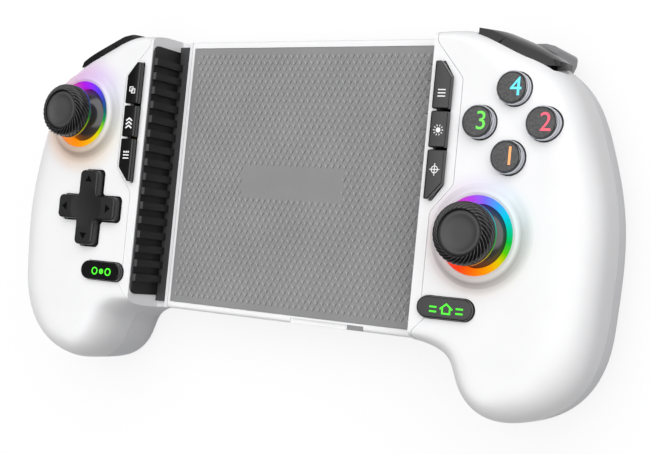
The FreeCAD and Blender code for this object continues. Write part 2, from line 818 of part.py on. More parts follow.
def stick_cap(side):
    # One piece: dome that hides the mechanism, neck, and a rimmed cap with a dished disc.
    pivot = -size("pivot_drop")
    outer = size("dome_ball")
    inner = outer - size("dome_shell")
    neck = size("neck_radius")
    cap = size("cap_radius")
    low = size("cap_low")
    top = size("cap_top")
    disc = size("disc_radius")
    bore = size("shaft_radius")
    roof = top - size("cap_roof")
    rim = math.radians(69)
    steps = 7

    def arc(radius, start, end):
        angles = [start + (end - start) * step / steps for step in range(steps + 1)]
        return [(radius * math.sin(angle), pivot + radius * math.cos(angle)) for angle in angles]

    inside = arc(inner, math.radians(17), rim)
    outside = arc(outer, rim, math.asin(neck / outer))
    profile = [(bore, roof), (bore, inside[0][1])] + inside + outside
    profile += [
        (neck, low + 0.6), (cap - 1.3, low), (cap - 0.5, low + 0.3), (cap, low + 1.4), (cap, top - 1.8),
        (cap - 0.5, top - 0.5), (cap - 1.5, top), (disc + 0.35, top - 0.1), (disc, top - 0.7),
        (disc - 0.6, top - 0.45), (0.5 * disc, top - 1.0), (0.0, top - 1.2), (0.0, roof),
    ]
    side_node(side, turned(profile, *STICKS[side]), "stick_cap")


def direction_cross():
    x, y = CROSS_X, "cross_y"
    body = plate(cross_outline(), "-5.2", "cross_rise", 0.7)
    flange = rod("cross_flange", (x, y, "-4.4"), "1.1")
    stem = rod("cross_ball + 1.8", (x, y, "-cross_pivot_drop"), "3")
    dish = ball("dish_radius", x, y, "cross_rise + dish_radius - dish_depth")
    socket = ball("cross_ball + play", x, y, "-cross_pivot_drop")
    name_node(mirrored(without(joined(body, flange, stem), dish, socket)), "direction_cross")
    foot = f"{BOARD_TOP} + membrane_thickness + 0.1"
    post = joined(
        ball("cross_ball", x, y, "-cross_pivot_drop"),
        rod("cross_ball / 2", (x, y, foot), f"-cross_pivot_drop - ({foot})"),
    )
    name_node(mirrored(post), "direction_pivot")


def face_buttons():
    radius = size("face_radius")
    wall = size("lens_wall")
    rise = size("face_rise")
    reach = radius + size("flange_reach")
    foot = -size("button_foot_drop")
    flange_top = -size("wall + play")
    flange_low = flange_top - size("flange_thickness")
    core = [
        (0.0, foot), (radius - wall - 1.0, foot), (radius - wall - 1.0, flange_low), (reach, flange_low),
        (reach, flange_top), (radius - wall, flange_top), (radius - wall, rise - wall), (0.0, rise - wall),
    ]
    lens = [
        (radius - wall, flange_top), (radius, flange_top), (radius, rise - 0.55), (radius - 0.16, rise - 0.16),
        (radius - 0.55, rise), (0.0, rise), (0.0, rise - wall), (radius - wall, rise - wall),
    ]
    for number, (x, y) in FACE_PLACES.items():
        name_node(turned(core, x, y), f"face_button_{number}")
        name_node(turned(lens, x, y), f"face_button_cap_{number}")


def side_button(part, right_label, left_label):
    cap = plate(side_buttons_outline(part), "-button_foot_drop", "side_rise", 0.45)
    limits = {
        "upper": ("side_upper_y + side_gap / 2", "side_top_y"),
        "middle": ("side_lower_y + side_gap / 2", "side_upper_y - side_gap / 2"),
        "lower": ("side_bottom_y", "side_lower_y - side_gap / 2"),
    }
    heights = ("-wall - play - flange_thickness", "-wall - play")
    flange = shared(
        plate(side_buttons_outline("all", size("flange_reach + play")), *heights),
        block((f"{JAW} + side_inner + 0.2", FAR), limits[part], heights),
    )
    right = name_node(joined(cap, flange), right_label)
    left = mirrored(right)
    left.Label = left_label
    nodes.append(left)


def pill_buttons():
    cap = plate(pill_outline(), "-button_foot_drop", "pill_rise", 0.5)
    flange = plate(pill_outline(size("flange_reach")), "-wall - play - flange_thickness", "-wall - play")
    wall_side = block((f"{JAW}", f"{FRAME_WALL} + 0.2"), (f"-{FAR}", FAR), ("-wall - 2", "-wall"))
    right = name_node(joined(cap, without(flange, wall_side)), "home_button")
    left = mirrored(right)
    left.Label = "lighting_button"
    nodes.append(left)


def bumper():
    # A band that follows the shoulder's outline, swinging on a pin at its inner end.
    box = bumper_window("shoulder - bumper_room + 1.5", 0.0)
    band = without(shared(solid(grip_form(-size("bumper_proud"))), box), solid(grip_form(size("bumper_inside"))))
    lug = rod("shoulder_pin + 1.8", BUMPER_HINGE + ("-bumper_low",), "bumper_low - bumper_high")
    bore = rod("shoulder_pin + running", BUMPER_HINGE + ("-bumper_low - 1",), "bumper_low + 2")
    both_sides(without(joined(band, lug), bore), "bumper")


def trigger_profile():
    # Side view: an arm from the hinge to a paddle whose outer face is hollow and flares out to a lip.
    high = -size("trigger_high")
    low = -size("trigger_low")
    hinge = -size("trigger_hinge_drop")
    near = size("trigger_hinge_y")
    far = near + size("trigger_reach")
    drop = high - low
    hub = size("trigger_hub")
    outer = [
        vector(0, far - 2.6, high),
        vector(0, far - 2.4, high - 0.30 * drop),
        vector(0, far - 1.9, high - 0.60 * drop),
        vector(0, far - 0.9, high - 0.85 * drop),
        vector(0, far, low),
    ]
    inner = [
        vector(0, far - 1.2, low - 0.5),
        vector(0, far - 7.0, low + 0.6),
        vector(0, far - 10.0, low + 3.4),
        vector(0, near + 3.4, hinge - 0.8 * hub),
        vector(0, near, hinge - hub),
    ]
    back = [vector(0, near, hinge + hub), vector(0, near + 5.0, hinge + hub), vector(0, near + 7.6, high)]
    curve = Part.BSplineCurve()
    curve.interpolate(outer)
    edges = [curve.toShape()]
    run = [outer[-1]] + inner + back + [outer[0]]
    edges += [Part.makeLine(first, second) for first, second in zip(run, run[1:])]
    return Part.Face(Part.Wire(edges))


def trigger():
    start = size(f"{JAW} + trigger_start")
    end = size(f"{JAW} + trigger_end")
    far = size("trigger_hinge_y + trigger_reach")
    taper = size("trigger_taper")
    face = trigger_profile()
    face.translate(vector(start, 0, 0))
    paddle = face.extrude(vector(end - start, 0, 0))
    plan = plate(
        [(start, far + 1, 1.2), (start, 20, 0), (end, 20, 0), (end, far - taper, 2.0),
         (start + 0.62 * (end - start), far - 0.45 * taper, 14.0), (start + 0.2 * (end - start), far + 1, 14.0)],
        "-body_depth", "0",
    )
    hub = rod("trigger_hub", (f"{JAW} + trigger_start",) + TRIGGER_HINGE, "trigger_end - trigger_start", "x")
    bore = rod("shoulder_pin + running", (f"{JAW} + trigger_start - 1",) + TRIGGER_HINGE,
               "trigger_end - trigger_start + 2", "x")
    both_sides(without(joined(shared(solid(paddle), plan), hub), bore), "trigger")


def shoulder_pins():
    reach = "(play + rib_thickness)"
    axle = rod("shoulder_pin", (f"{JAW} + trigger_start - {reach}",) + TRIGGER_HINGE,
               f"trigger_end - trigger_start + 2 * {reach}", "x")
    post = rod("shoulder_pin", BUMPER_HINGE + ("-bumper_low - play",), "bumper_low + play - wall")
    both_sides(group(axle, post), "shoulder_pins")


def board():
    jaw = size(JAW)
    across = size("grip_width")
    down = size("horn")
    top = size("face_y + face_offset") + 4.2
    outline = [
        (jaw + 5, top, 1.0),
        (jaw + 0.63 * across, top, 4.0),
        (jaw + 0.81 * across, 0.28 * size("shoulder"), 6.0),
        (jaw + 0.86 * across, -0.29 * down, 8.0),
        (jaw + 0.81 * across, -0.66 * down, 6.0),
        (jaw + 0.70 * across, -0.82 * down, 6.0),
        (jaw + 0.49 * across, -0.83 * down, 6.0),
        (jaw + 0.28 * across, -0.70 * down, 6.0),
        (jaw + 5, -0.62 * down, 1.0),
    ]
    holes = [rod("screw_radius + 0.3", (x, y, "-30"), "30") for x, y in SHELL_SCREWS]
    both_sides(without(plate(outline, "-board_drop - board_thickness", "-board_drop"), *holes), "board")


def membrane(side):
    # A rubber sheet with a dome under each button.
    jaw = size(JAW)
    low = "-board_drop"
    high = "-board_drop + membrane_thickness"
    column = [(jaw + 5, -42, 1), (jaw + 22, -42, 1), (jaw + 22, -32, 1), (jaw + 10.6, -32, 1),
              (jaw + 10.6, 31, 1), (jaw + 5, 31, 1)]
    middle = f"{JAW} + side_inner + side_width / 2 + 0.4"
    domes = [(middle, "side_upper_y + 6.5"), (middle, "(side_upper_y + side_lower_y) / 2"),
             (middle, "side_lower_y - 6.5"), (PILL_X, "pill_y")]
    if side == "right":
        sheet_part = [(jaw + 10, 3, 1), (jaw + 43, 3, 6), (jaw + 43, 32.5, 6), (jaw + 10, 32.5, 1)]
        domes += list(FACE_PLACES.values())
    else:
        sheet_part = [(jaw + 10, -30, 1), (jaw + 34, -30, 4), (jaw + 34, -0.5, 4), (jaw + 10, -0.5, 1)]
        reach = "(cross_span / 2 - cross_arm / 2)"
        domes += [(f"{CROSS_X} + {reach}", "cross_y"), (f"{CROSS_X} - {reach}", "cross_y"),
                  (CROSS_X, f"cross_y + {reach}"), (CROSS_X, f"cross_y - {reach}")]
    pieces = [plate(column, low, high), plate(sheet_part, low, high)]
    pieces += [cone("dome_radius", "dome_radius * 0.6", (x, y, f"{high} - 0.1"), "dome_rise + 0.1") for x, y in domes]
    holes = [rod("boss_radius + 0.4", (x, y, "-30"), "30") for x, y in SHELL_SCREWS]
    side_node(side, without(joined(*pieces), *holes), "membrane")


def screws():
    pieces = []
    head = "(-body_depth + screw_recess)"
    tops = ["-board_drop + 6"] * 2 + [f"{TONGUE_LOW} + 2.6"] * 2
    for (x, y), top in zip(SHELL_SCREWS + TONGUE_SCREWS, tops):
        pieces.append(joined(
            rod("screw_head", (x, y, head), "screw_head_height"),
            rod("screw_radius", (x, y, head), f"{top} - {head}"),
        ))
    both_sides(group(*pieces), "screws")


def battery():
    x = f"{JAW} + 13"
    low = "-body_depth + wall + 0.1"
    top_y = "-4"
    pack = block((x, f"{x} + battery_width"), (f"{top_y} - battery_length", top_y), (low, f"{low} + battery_thickness"))
    name_node(mirrored(pack), "battery")


def socket_form(length, grow):
    # Rounded slot of the charging socket, open toward the shoulders.
    half = size("socket_width") / 2 + grow
    thick = size("socket_thickness") / 2 + grow
    x = size(SOCKET_X)
    z = -size("socket_drop")
    corner = thick - 0.01
    corners = [(x - half, z - thick, corner), (x + half, z - thick, corner), (x + half, z + thick, corner),
               (x - half, z + thick, corner)]
    back = "(shoulder - 1.0 - socket_depth)"
    return plate(corners, f"-({back} + {length})", f"-{back}", role="XZ_Plane")


def socket():
    back = block((f"{SOCKET_X} - socket_width / 2 + 1", f"{SOCKET_X} + socket_width / 2 - 1"),
                 ("shoulder - 1 - socket_depth", "shoulder - socket_depth"),
                 ("-socket_drop - socket_thickness / 2 + 0.1", "-socket_drop + socket_thickness / 2 - 0.1"))
    blade = block((f"{SOCKET_X} - 3.35", f"{SOCKET_X} + 3.35"),
                  ("shoulder - 1 - socket_depth + 0.5", "shoulder - 2"),
                  ("-socket_drop - 0.35", "-socket_drop + 0.35"))
    sleeve = without(socket_form("socket_depth", 0.0), socket_form("socket_depth + 5", -0.3))
    name_node(joined(sleeve, back, blade), "charging_socket")


def bridge():
    end = f"({BASE} - seam_gap)"
    half = size("shoulder")
    top = "-mat_drop"
    cover_low = f"({top} - mat_thickness - cover_thickness)"
    corners = [(-half, size(cover_low), 0), (half, size(cover_low), 0), (half, size(top), 1.2), (-half, size(top), 1.2)]
    cover = plate(corners, f"-{end}", end, role="YZ_Plane")
    mat_room = block((f"-{end} + mat_border", f"{end} + 1"), ("-mat_half - 0.15", "mat_half + 0.15"),
                     (f"{top} - mat_thickness", "0"))
    window = block(("stop_end_x - stop_window", "stop_end_x"), ("-shoulder - 1", "-shoulder + stop_width"),
                   (f"{top} - mat_thickness", "0"))
    name_node(without(cover, mat_room, window), "bridge_cover")

    mat = block((f"-{end} + mat_border + 0.15", end), ("-mat_half", "mat_half"), (f"{top} - mat_thickness", top))
    name_node(mat, "bridge_mat")
    stop = block(("stop_end_x - stop_length", "stop_end_x"), ("-shoulder + 0.1", "-shoulder + stop_width"),
                 (f"{top} - mat_thickness", f"{top} - 0.1"))
    name_node(stop, "stop_block")

    low = size(TRAY_LOW)
    corners = [(half, size(cover_low), 0), (-half, size(cover_low), 0), (-half, low, 4.0), (half, low, 4.0)]
    tray = plate(corners, f"-{end}", end, role="YZ_Plane")
    channel = block((f"-{end} - 1", f"{end} - tray_wall"), ("-tongue_half - play", "tongue_half + play"),
                    (f"{TONGUE_LOW} - play", "0"))
    room = block((f"-{end} + tray_wall", f"{end} - tray_wall"), ("-tab_half", "tab_half"),
                 (f"{TRAY_LOW} + tray_wall", "0"))
    cable_gate = block((f"{end} - tray_wall - 1", f"{end} + 1"),
                       ("cable_lane - cable_width / 2 - 0.2", "cable_lane + cable_width / 2 + 0.2"),
                       (f"{TRAY_LOW} + tray_wall", f"{TRAY_LOW} + tray_wall + cable_thickness + 0.2"))
    posts = [
        rod("spring_post", (f"{end} - tray_wall - 2 * spring_post", f"{sign} * spring_y", f"{TRAY_LOW} + 1"),
            f"{TONGUE_TOP} - {TRAY_LOW} - 1") for sign in (-1, 1)
    ]
    tab = block((f"{end} - tray_wall", f"{JAW} + tongue_root"), ("-tab_half", "tab_half"), (TONGUE_LOW, TONGUE_TOP))
    holes = [rod("screw_radius", (x, y, f"{TONGUE_LOW} - 1"), "tongue_thickness + 2") for x, y in TONGUE_SCREWS]
    name_node(without(joined(without(tray, channel, room, cable_gate), tab, *posts), *holes), "bridge_tray")


def tongue():
    # Slides in the bridge's tray; its slots carry the return springs.
    left = f"-({JAW} + tongue_root)"
    right = f"{BASE} - tongue_stop"
    sheet_body = block((left, right), ("-tongue_half", "tongue_half"), (TONGUE_LOW, TONGUE_TOP))
    low = f"{TONGUE_LOW} - 1"
    slots = [
        block(("-spring_anchor", FAR),
              (f"{sign} * spring_y - spring_radius - 0.5", f"{sign} * spring_y + spring_radius + 0.5"), (low, "0"))
        for sign in (-1, 1)
    ]
    window = block(("-40", "-18"), ("-18", "18"), (low, "0"))
    holes = [rod("screw_radius", (f"-({x})", y, low), "tongue_thickness + 2") for x, y in TONGUE_SCREWS]
    name_node(without(sheet_body, *slots, window, *holes), "tongue")


def return_springs():
    middle = f"({TONGUE_LOW} + {TONGUE_TOP}) / 2"
    end = f"{BASE} - seam_gap - tray_wall - 3 * spring_post - 0.2"
    start = "-spring_anchor + 0.2"
    pieces = [
        without(
            rod("spring_radius - 0.25", (start, f"{sign} * spring_y", middle), f"{end} - ({start})", "x"),
            rod("spring_bore", (start, f"{sign} * spring_y", middle), f"{end} - ({start})", "x"),
        )
        for sign in (-1, 1)
    ]
    name_node(group(*pieces), "return_springs")


def flex_cable():
    # A flat ribbon: one lane lies on the tray's floor, the other folds back under the tongue.
    thick = "cable_thickness"
    floor = f"({TRAY_LOW} + tray_wall + 0.02)"
    under = f"({TONGUE_LOW} - play - {thick})"
    bend_x = f"({BASE} - seam_gap - tray_wall - 8)"
    radius = f"(({under} - {floor}) / 2)"
    middle = f"{floor} + {radius} + {thick} / 2"
    lane = ("-cable_width / 2", "cable_width / 2")
    side_lane = ("cable_lane - cable_width / 2", "cable_lane + cable_width / 2")
    low = (floor, f"{floor} + {thick}")
    outer = rod(f"{radius} + {thick} / 2", (bend_x, "-cable_width / 2", middle), "cable_width", "y")
    inner = rod(f"{radius} - {thick} / 2", (bend_x, "-cable_width", middle), "2 * cable_width", "y")
    bend = without(outer, inner, block((f"{bend_x} - 9", bend_x), ("-20", "20"), ("-body_depth", "0")))
    pieces = [
        block(("cable_start", bend_x), lane, low),
        block(("cable_start", "cable_start + 5"), (lane[0], side_lane[1]), low),
        block(("cable_start", f"{JAW} + 5"), side_lane, low),
        block((f"{bend_x} - 5", bend_x), lane, (under, f"{under} + {thick}")),
        bend,
    ]
    name_node(joined(*pieces), "flex_cable")


bridge()
tongue()
return_springs()
flex_cable()
battery()
socket()
panel = front_panel()
rear_shells()
jaw_frame()
jaw_pad()
bumper()
trigger()
shoulder_pins()
board()
screws()
for side in ("right", "left"):
    front_shell(side, panel)
    light_ring(side)
    stick_module(side)
    stick_rocker(side)
    stick_pivot(side)
    stick_cap(side)
    membrane(side)
direction_cross()
face_buttons()
side_button("upper", "start_button", "select_button")
side_button("middle", "brightness_button", "turbo_button")
side_button("lower", "aim_button", "macro_button")
pill_buttons()

doc.recompute()
faults = []
for item in doc.Objects:
    if "Invalid" in item.State or "Error" in item.State:
        faults.append(f"{item.Name}: {item.State}")
for item in nodes:
    if item.Shape.isNull() or not item.Shape.isValid() or item.Shape.Volume <= 0:
        faults.append(f"{item.Label}: no valid shape")
if faults:
    raise SystemExit("\n".join(faults))

os.makedirs("parts", exist_ok=True)
for item in nodes:
    item.Shape.exportStep(os.path.join("parts", item.Label + ".step"))
print(len(nodes), "sub-parts written")
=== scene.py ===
import bpy
import bmesh
import math
from mathutils import Matrix, Vector


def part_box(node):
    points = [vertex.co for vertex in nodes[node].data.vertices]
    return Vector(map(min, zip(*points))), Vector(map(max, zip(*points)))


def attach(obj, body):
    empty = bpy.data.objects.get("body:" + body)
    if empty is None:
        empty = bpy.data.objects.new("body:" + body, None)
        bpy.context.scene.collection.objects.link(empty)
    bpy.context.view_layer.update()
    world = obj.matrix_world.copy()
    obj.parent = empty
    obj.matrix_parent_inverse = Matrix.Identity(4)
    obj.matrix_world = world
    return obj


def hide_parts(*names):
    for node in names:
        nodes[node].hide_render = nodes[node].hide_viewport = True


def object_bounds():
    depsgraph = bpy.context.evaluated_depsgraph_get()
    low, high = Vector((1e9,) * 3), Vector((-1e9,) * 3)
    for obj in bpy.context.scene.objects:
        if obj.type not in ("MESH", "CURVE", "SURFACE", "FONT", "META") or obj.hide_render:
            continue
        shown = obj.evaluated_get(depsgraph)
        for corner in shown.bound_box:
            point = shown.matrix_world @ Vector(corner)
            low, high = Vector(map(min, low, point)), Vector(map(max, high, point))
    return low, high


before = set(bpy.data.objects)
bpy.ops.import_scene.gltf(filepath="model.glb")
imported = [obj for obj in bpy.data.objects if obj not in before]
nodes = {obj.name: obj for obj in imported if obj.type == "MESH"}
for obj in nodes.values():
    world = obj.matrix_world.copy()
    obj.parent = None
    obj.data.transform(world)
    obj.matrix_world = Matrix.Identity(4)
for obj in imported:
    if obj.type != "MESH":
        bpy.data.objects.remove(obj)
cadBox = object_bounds()
print("frame loaded:", len(nodes), "nodes")


# places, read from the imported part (millimetres about the middle of the phone slot, up out of the face)
matLow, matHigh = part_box("bridge_mat")
slotMiddleY = (matLow.y + matHigh.y) / 2
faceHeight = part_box("right_jaw_frame")[1].z


def spot(x, y, z):
    return Vector((x / 1000, y / 1000 + slotMiddleY, z / 1000 + faceHeight))


def middleOf(node):
    low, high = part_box(node)
    return (low + high) / 2


def topOf(node):
    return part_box(node)[1].z


# camera
cameraFit = {"yaw": 32.41, "pitch": -1.95, "roll": -5.59, "lens": 71.31, "sensor": 36.0,
             "offset": (-17.89, 16.98, -423.73), "clip": (0.01, 20.0)}


def makeCamera():
    turn = Matrix.Rotation(math.radians(cameraFit["roll"]), 3, "Z")
    turn = turn @ Matrix.Rotation(math.radians(cameraFit["pitch"]), 3, "X")
    turn = turn @ Matrix.Rotation(-math.radians(cameraFit["yaw"]), 3, "Y")
    back = turn.transposed()
    seat = -(back @ Vector(cameraFit["offset"]))
    data = bpy.data.cameras.new("productCamera")
    data.lens = cameraFit["lens"]
    data.sensor_width = cameraFit["sensor"]
    data.clip_start, data.clip_end = cameraFit["clip"]
    camera = bpy.data.objects.new("productCamera", data)
    camera.matrix_world = Matrix.Translation(spot(*seat)) @ back.to_4x4()
    bpy.context.scene.collection.objects.link(camera)
    bpy.context.scene.camera = camera


makeCamera()
print("camera placed")


# small helpers for shader nodes
def linear(colour):
    spread = [v / 255 for v in colour]
    return tuple(v / 12.92 if v <= 0.04045 else ((v + 0.055) / 1.055) ** 2.4 for v in spread) + (1.0,)


def feed(tree, socket, value):
    # a socket takes either a link or a plain value
    if isinstance(value, bpy.types.NodeSocket):
        tree.links.new(value, socket)
    else:
        socket.default_value = value


def addMath(tree, operation, *values, clamp=False):
    node = tree.nodes.new("ShaderNodeMath")
    node.operation = operation
    node.use_clamp = clamp
    for socket, value in zip(node.inputs, values):
        feed(tree, socket, value)
    return node.outputs[0]


def addMix(tree, blend, factor, first, second):
    node = tree.nodes.new("ShaderNodeMix")
    node.data_type = "RGBA"
    node.blend_type = blend
    for label, value in (("Factor", factor), ("A", first), ("B", second)):
        feed(tree, node.inputs[label], value)
    return node.outputs["Result"]


def addFade(tree, kind, value, edges, strengths):
    # goes smoothly from the first strength to the second between the two edges
    node = tree.nodes.new("ShaderNodeMapRange")
    node.interpolation_type = kind
    feed(tree, node.inputs["Value"], value)
    node.inputs["From Min"].default_value, node.inputs["From Max"].default_value = edges
    node.inputs["To Min"].default_value, node.inputs["To Max"].default_value = strengths
    return node.outputs["Result"]


def addNoise(tree, where, scale, detail):
    noise = tree.nodes.new("ShaderNodeTexNoise")
    noise.inputs["Detail"].default_value = detail
    feed(tree, noise.inputs["Vector"], where)
    feed(tree, noise.inputs["Scale"], scale)
    return noise.outputs["Fac"]


def addRamp(tree, value, stops):
    ramp = tree.nodes.new("ShaderNodeValToRGB")
    tree.links.new(value, ramp.inputs["Fac"])
    table = ramp.color_ramp.elements
    for index, (place, colour) in enumerate(stops):
        stop = table[index] if index < 2 else table.new(place)
        stop.position = place
        stop.color = linear(colour)
    return ramp.outputs["Color"]


# light and floor
studio = {
    "bright": 1.86, "dim": 0.09, "lean": (0.25, 0.24, 0.94), "edges": (0.56, 0.77),
    "floorReach": 4.0, "floorBounce": (132, 132, 134), "floorShade": (117, 117, 118), "floorLift": 0.82,
    "floorRoughness": 0.9, "floorShine": 0.1,
}


def makeStudio():
    # white surroundings: bright over the face, a little toward its top and right, and dim elsewhere
    scene = bpy.context.scene
    scene.view_settings.view_transform = "Standard"
    world = bpy.data.worlds.new("softTent")
    scene.world = world
    world.use_nodes = True
    tree = world.node_tree
    sky = tree.nodes["Background"]
    sky.inputs["Color"].default_value = (1, 1, 1, 1)
    where = tree.nodes.new("ShaderNodeTexCoord")
    lean = tree.nodes.new("ShaderNodeVectorMath")
    lean.operation = "DOT_PRODUCT"
    lean.inputs[1].default_value = Vector(studio["lean"]).normalized()
    tree.links.new(where.outputs["Generated"], lean.inputs[0])
    strengths = (studio["dim"], studio["bright"])
    fade = addFade(tree, "SMOOTHSTEP", lean.outputs["Value"], studio["edges"], strengths)
    tree.links.new(fade, sky.inputs["Strength"])


def makeFloor():
    low = cadBox[0].z
    reach = studio["floorReach"]
    mesh = bpy.data.meshes.new("paleFloor")
    corners = [(-reach, -reach, low), (reach, -reach, low), (reach, reach, low), (-reach, reach, low)]
    mesh.from_pydata(corners, [], [(0, 1, 2, 3)])
    floor = bpy.data.objects.new("paleFloor", mesh)
    bpy.context.scene.collection.objects.link(floor)
    paper = bpy.data.materials.new("floorPaper")
    paper.use_nodes = True
    tree = paper.node_tree
    shader = tree.nodes["Principled BSDF"]
    path = tree.nodes.new("ShaderNodeLightPath")
    seen = addMath(tree, "ADD", path.outputs["Is Camera Ray"], path.outputs["Is Glossy Ray"])
    seen = addMath(tree, "ADD", seen, path.outputs["Is Transmission Ray"], clamp=True)
    tone = addMix(tree, "MIX", seen, linear(studio["floorBounce"]), linear(studio["floorShade"]))
    tree.links.new(tone, shader.inputs["Base Color"])
    # white paper as the camera and mirrors see it, with a light shadow of the object left on it
    lift = addMath(tree, "MULTIPLY", seen, studio["floorLift"])
    tree.links.new(lift, shader.inputs["Emission Strength"])
    shader.inputs["Emission Color"].default_value = (1, 1, 1, 1)
    shader.inputs["Roughness"].default_value = studio["floorRoughness"]
    shader.inputs["Specular IOR Level"].default_value = studio["floorShine"]
    mesh.materials.append(paper)


makeStudio()
makeFloor()
print("studio lit")


# shared node groups
grainLook = {"height": 0.0002, "contrast": 2.4, "shift": -0.7}


def startGroup(name, inputs, outputs):
    group = bpy.data.node_groups.new(name, "ShaderNodeTree")
    for label, kind, value in inputs:
        socket = group.interface.new_socket(name=label, in_out="INPUT", socket_type=kind)
        socket.default_value = value
    for label, kind in outputs:
        group.interface.new_socket(name=label, in_out="OUTPUT", socket_type=kind)
    entry = group.nodes.new("NodeGroupInput")
    leave = group.nodes.new("NodeGroupOutput")
    return group, entry, leave


def makeGrainGroup():
    # fine spark-eroded grain of a moulded face, with a slow drift in tone
    group, entry, leave = startGroup(
        "mouldedGrain",
        [("Scale", "NodeSocketFloat", 2600.0), ("Drift", "NodeSocketFloat", 60.0)],
        [("Height", "NodeSocketFloat"), ("Tone", "NodeSocketFloat")],
    )
    where = group.nodes.new("ShaderNodeTexCoord").outputs["Object"]
    fine = addNoise(group, where, entry.outputs["Scale"], 2.0)
    slow = addNoise(group, where, entry.outputs["Drift"], 3.0)
    group.links.new(fine, leave.inputs["Height"])
    group.links.new(slow, leave.inputs["Tone"])
    return group


def makeTintGroup():
    # a colour that wanders a little between two near tones, and a roughness that goes with it
    group, entry, leave = startGroup(
        "toneAndGloss",
        [("Tone", "NodeSocketFloat", 0.5), ("Light", "NodeSocketColor", (0.8, 0.8, 0.8, 1)),
         ("Deep", "NodeSocketColor", (0.7, 0.7, 0.7, 1)), ("Gloss Low", "NodeSocketFloat", 0.4),
         ("Gloss High", "NodeSocketFloat", 0.5)],
        [("Colour", "NodeSocketColor"), ("Roughness", "NodeSocketFloat")],
    )
    contrast, shift = grainLook["contrast"], grainLook["shift"]
    spread = addMath(group, "MULTIPLY_ADD", entry.outputs["Tone"], contrast, shift, clamp=True)
    colour = addMix(group, "MIX", spread, entry.outputs["Deep"], entry.outputs["Light"])
    group.links.new(colour, leave.inputs["Colour"])
    reach = addMath(group, "SUBTRACT", entry.outputs["Gloss High"], entry.outputs["Gloss Low"])
    part = addMath(group, "MULTIPLY", reach, spread)
    group.links.new(addMath(group, "ADD", entry.outputs["Gloss Low"], part), leave.inputs["Roughness"])
    return group


def makeDialGroup():
    # turn (0 to 1 round the circle, 0.5 toward +X) and distance in millimetres about an upright axis
    group, entry, leave = startGroup(
        "aboutStick",
        [("Centre X", "NodeSocketFloat", 0.0), ("Centre Y", "NodeSocketFloat", 0.0)],
        [("Turn", "NodeSocketFloat"), ("Distance", "NodeSocketFloat")],
    )
    where = group.nodes.new("ShaderNodeTexCoord").outputs["Object"]
    split = group.nodes.new("ShaderNodeSeparateXYZ")
    group.links.new(where, split.inputs[0])
    across = addMath(group, "SUBTRACT", split.outputs["X"], entry.outputs["Centre X"])
    along = addMath(group, "SUBTRACT", split.outputs["Y"], entry.outputs["Centre Y"])
    turn = addMath(group, "ARCTAN2", along, across)
    share = addMath(group, "MULTIPLY_ADD", turn, 1 / (2 * math.pi), 0.5)
    acrossSquare = addMath(group, "MULTIPLY", across, across)
    alongSquare = addMath(group, "MULTIPLY", along, along)
    distance = addMath(group, "SQRT", addMath(group, "ADD", acrossSquare, alongSquare))
    group.links.new(share, leave.inputs["Turn"])
    group.links.new(addMath(group, "MULTIPLY", distance, 1000.0), leave.inputs["Distance"])
    return group


grainGroup = makeGrainGroup()
tintGroup = makeTintGroup()
dialGroup = makeDialGroup()
print("node groups made")


# materials
def useGroup(tree, group, **values):
    node = tree.nodes.new("ShaderNodeGroup")
    node.node_tree = group
    for label, value in values.items():
        feed(tree, node.inputs[label.replace("_", " ")], value)
    return node


def startMaterial(name, **sockets):
    material = bpy.data.materials.new(name)
    material.use_nodes = True
    shader = material.node_tree.nodes["Principled BSDF"]
    for label, value in sockets.items():
        shader.inputs[label.replace("_", " ")].default_value = value
    return material, material.node_tree, shader


def mouldedMaterial(name, light, deep, gloss, grain=2600.0, depth=0.05, drift=60.0, **sockets):
    # plastic or rubber from a mould: grain in the normal, slow drift in colour and gloss
    material, tree, shader = startMaterial(name, **sockets)
    grainNode = useGroup(tree, grainGroup, Scale=grain, Drift=drift)
    tint = useGroup(tree, tintGroup, Tone=grainNode.outputs["Tone"], Light=linear(light), Deep=linear(deep),
                    Gloss_Low=gloss[0], Gloss_High=gloss[1])
    bump = tree.nodes.new("ShaderNodeBump")
    bump.inputs["Strength"].default_value = depth
    bump.inputs["Distance"].default_value = grainLook["height"]
    tree.links.new(grainNode.outputs["Height"], bump.inputs["Height"])
    tree.links.new(bump.outputs["Normal"], shader.inputs["Normal"])
    tree.links.new(tint.outputs["Colour"], shader.inputs["Base Color"])
    tree.links.new(tint.outputs["Roughness"], shader.inputs["Roughness"])
    return material


# colours round each stick: the share of the turn that starts at the left (-X) and goes by the bottom
ringColours = {
    "right": [
        (0.0, (255, 20, 90)), (0.10, (255, 24, 20)), (0.18, (255, 60, 0)), (0.26, (255, 122, 0)),
        (0.33, (255, 165, 0)), (0.385, (225, 205, 0)), (0.43, (90, 205, 0)), (0.48, (0, 196, 60)),
        (0.54, (0, 205, 170)), (0.60, (0, 205, 240)), (0.655, (60, 170, 255)), (0.72, (120, 110, 255)),
        (0.78, (180, 70, 240)), (0.85, (215, 40, 200)), (1.0, (255, 20, 90))],
    "left": [
        (0.0, (255, 110, 20)), (0.12, (255, 128, 0)), (0.24, (255, 150, 0)), (0.32, (250, 180, 0)),
        (0.38, (225, 215, 0)), (0.43, (140, 215, 0)), (0.47, (20, 160, 60)), (0.52, (10, 100, 110)),
        (0.58, (40, 70, 170)), (0.65, (90, 60, 240)), (0.71, (150, 40, 250)), (0.76, (178, 20, 230)),
        (0.82, (200, 60, 160)), (0.87, (255, 120, 60)), (1.0, (255, 110, 20))],
}


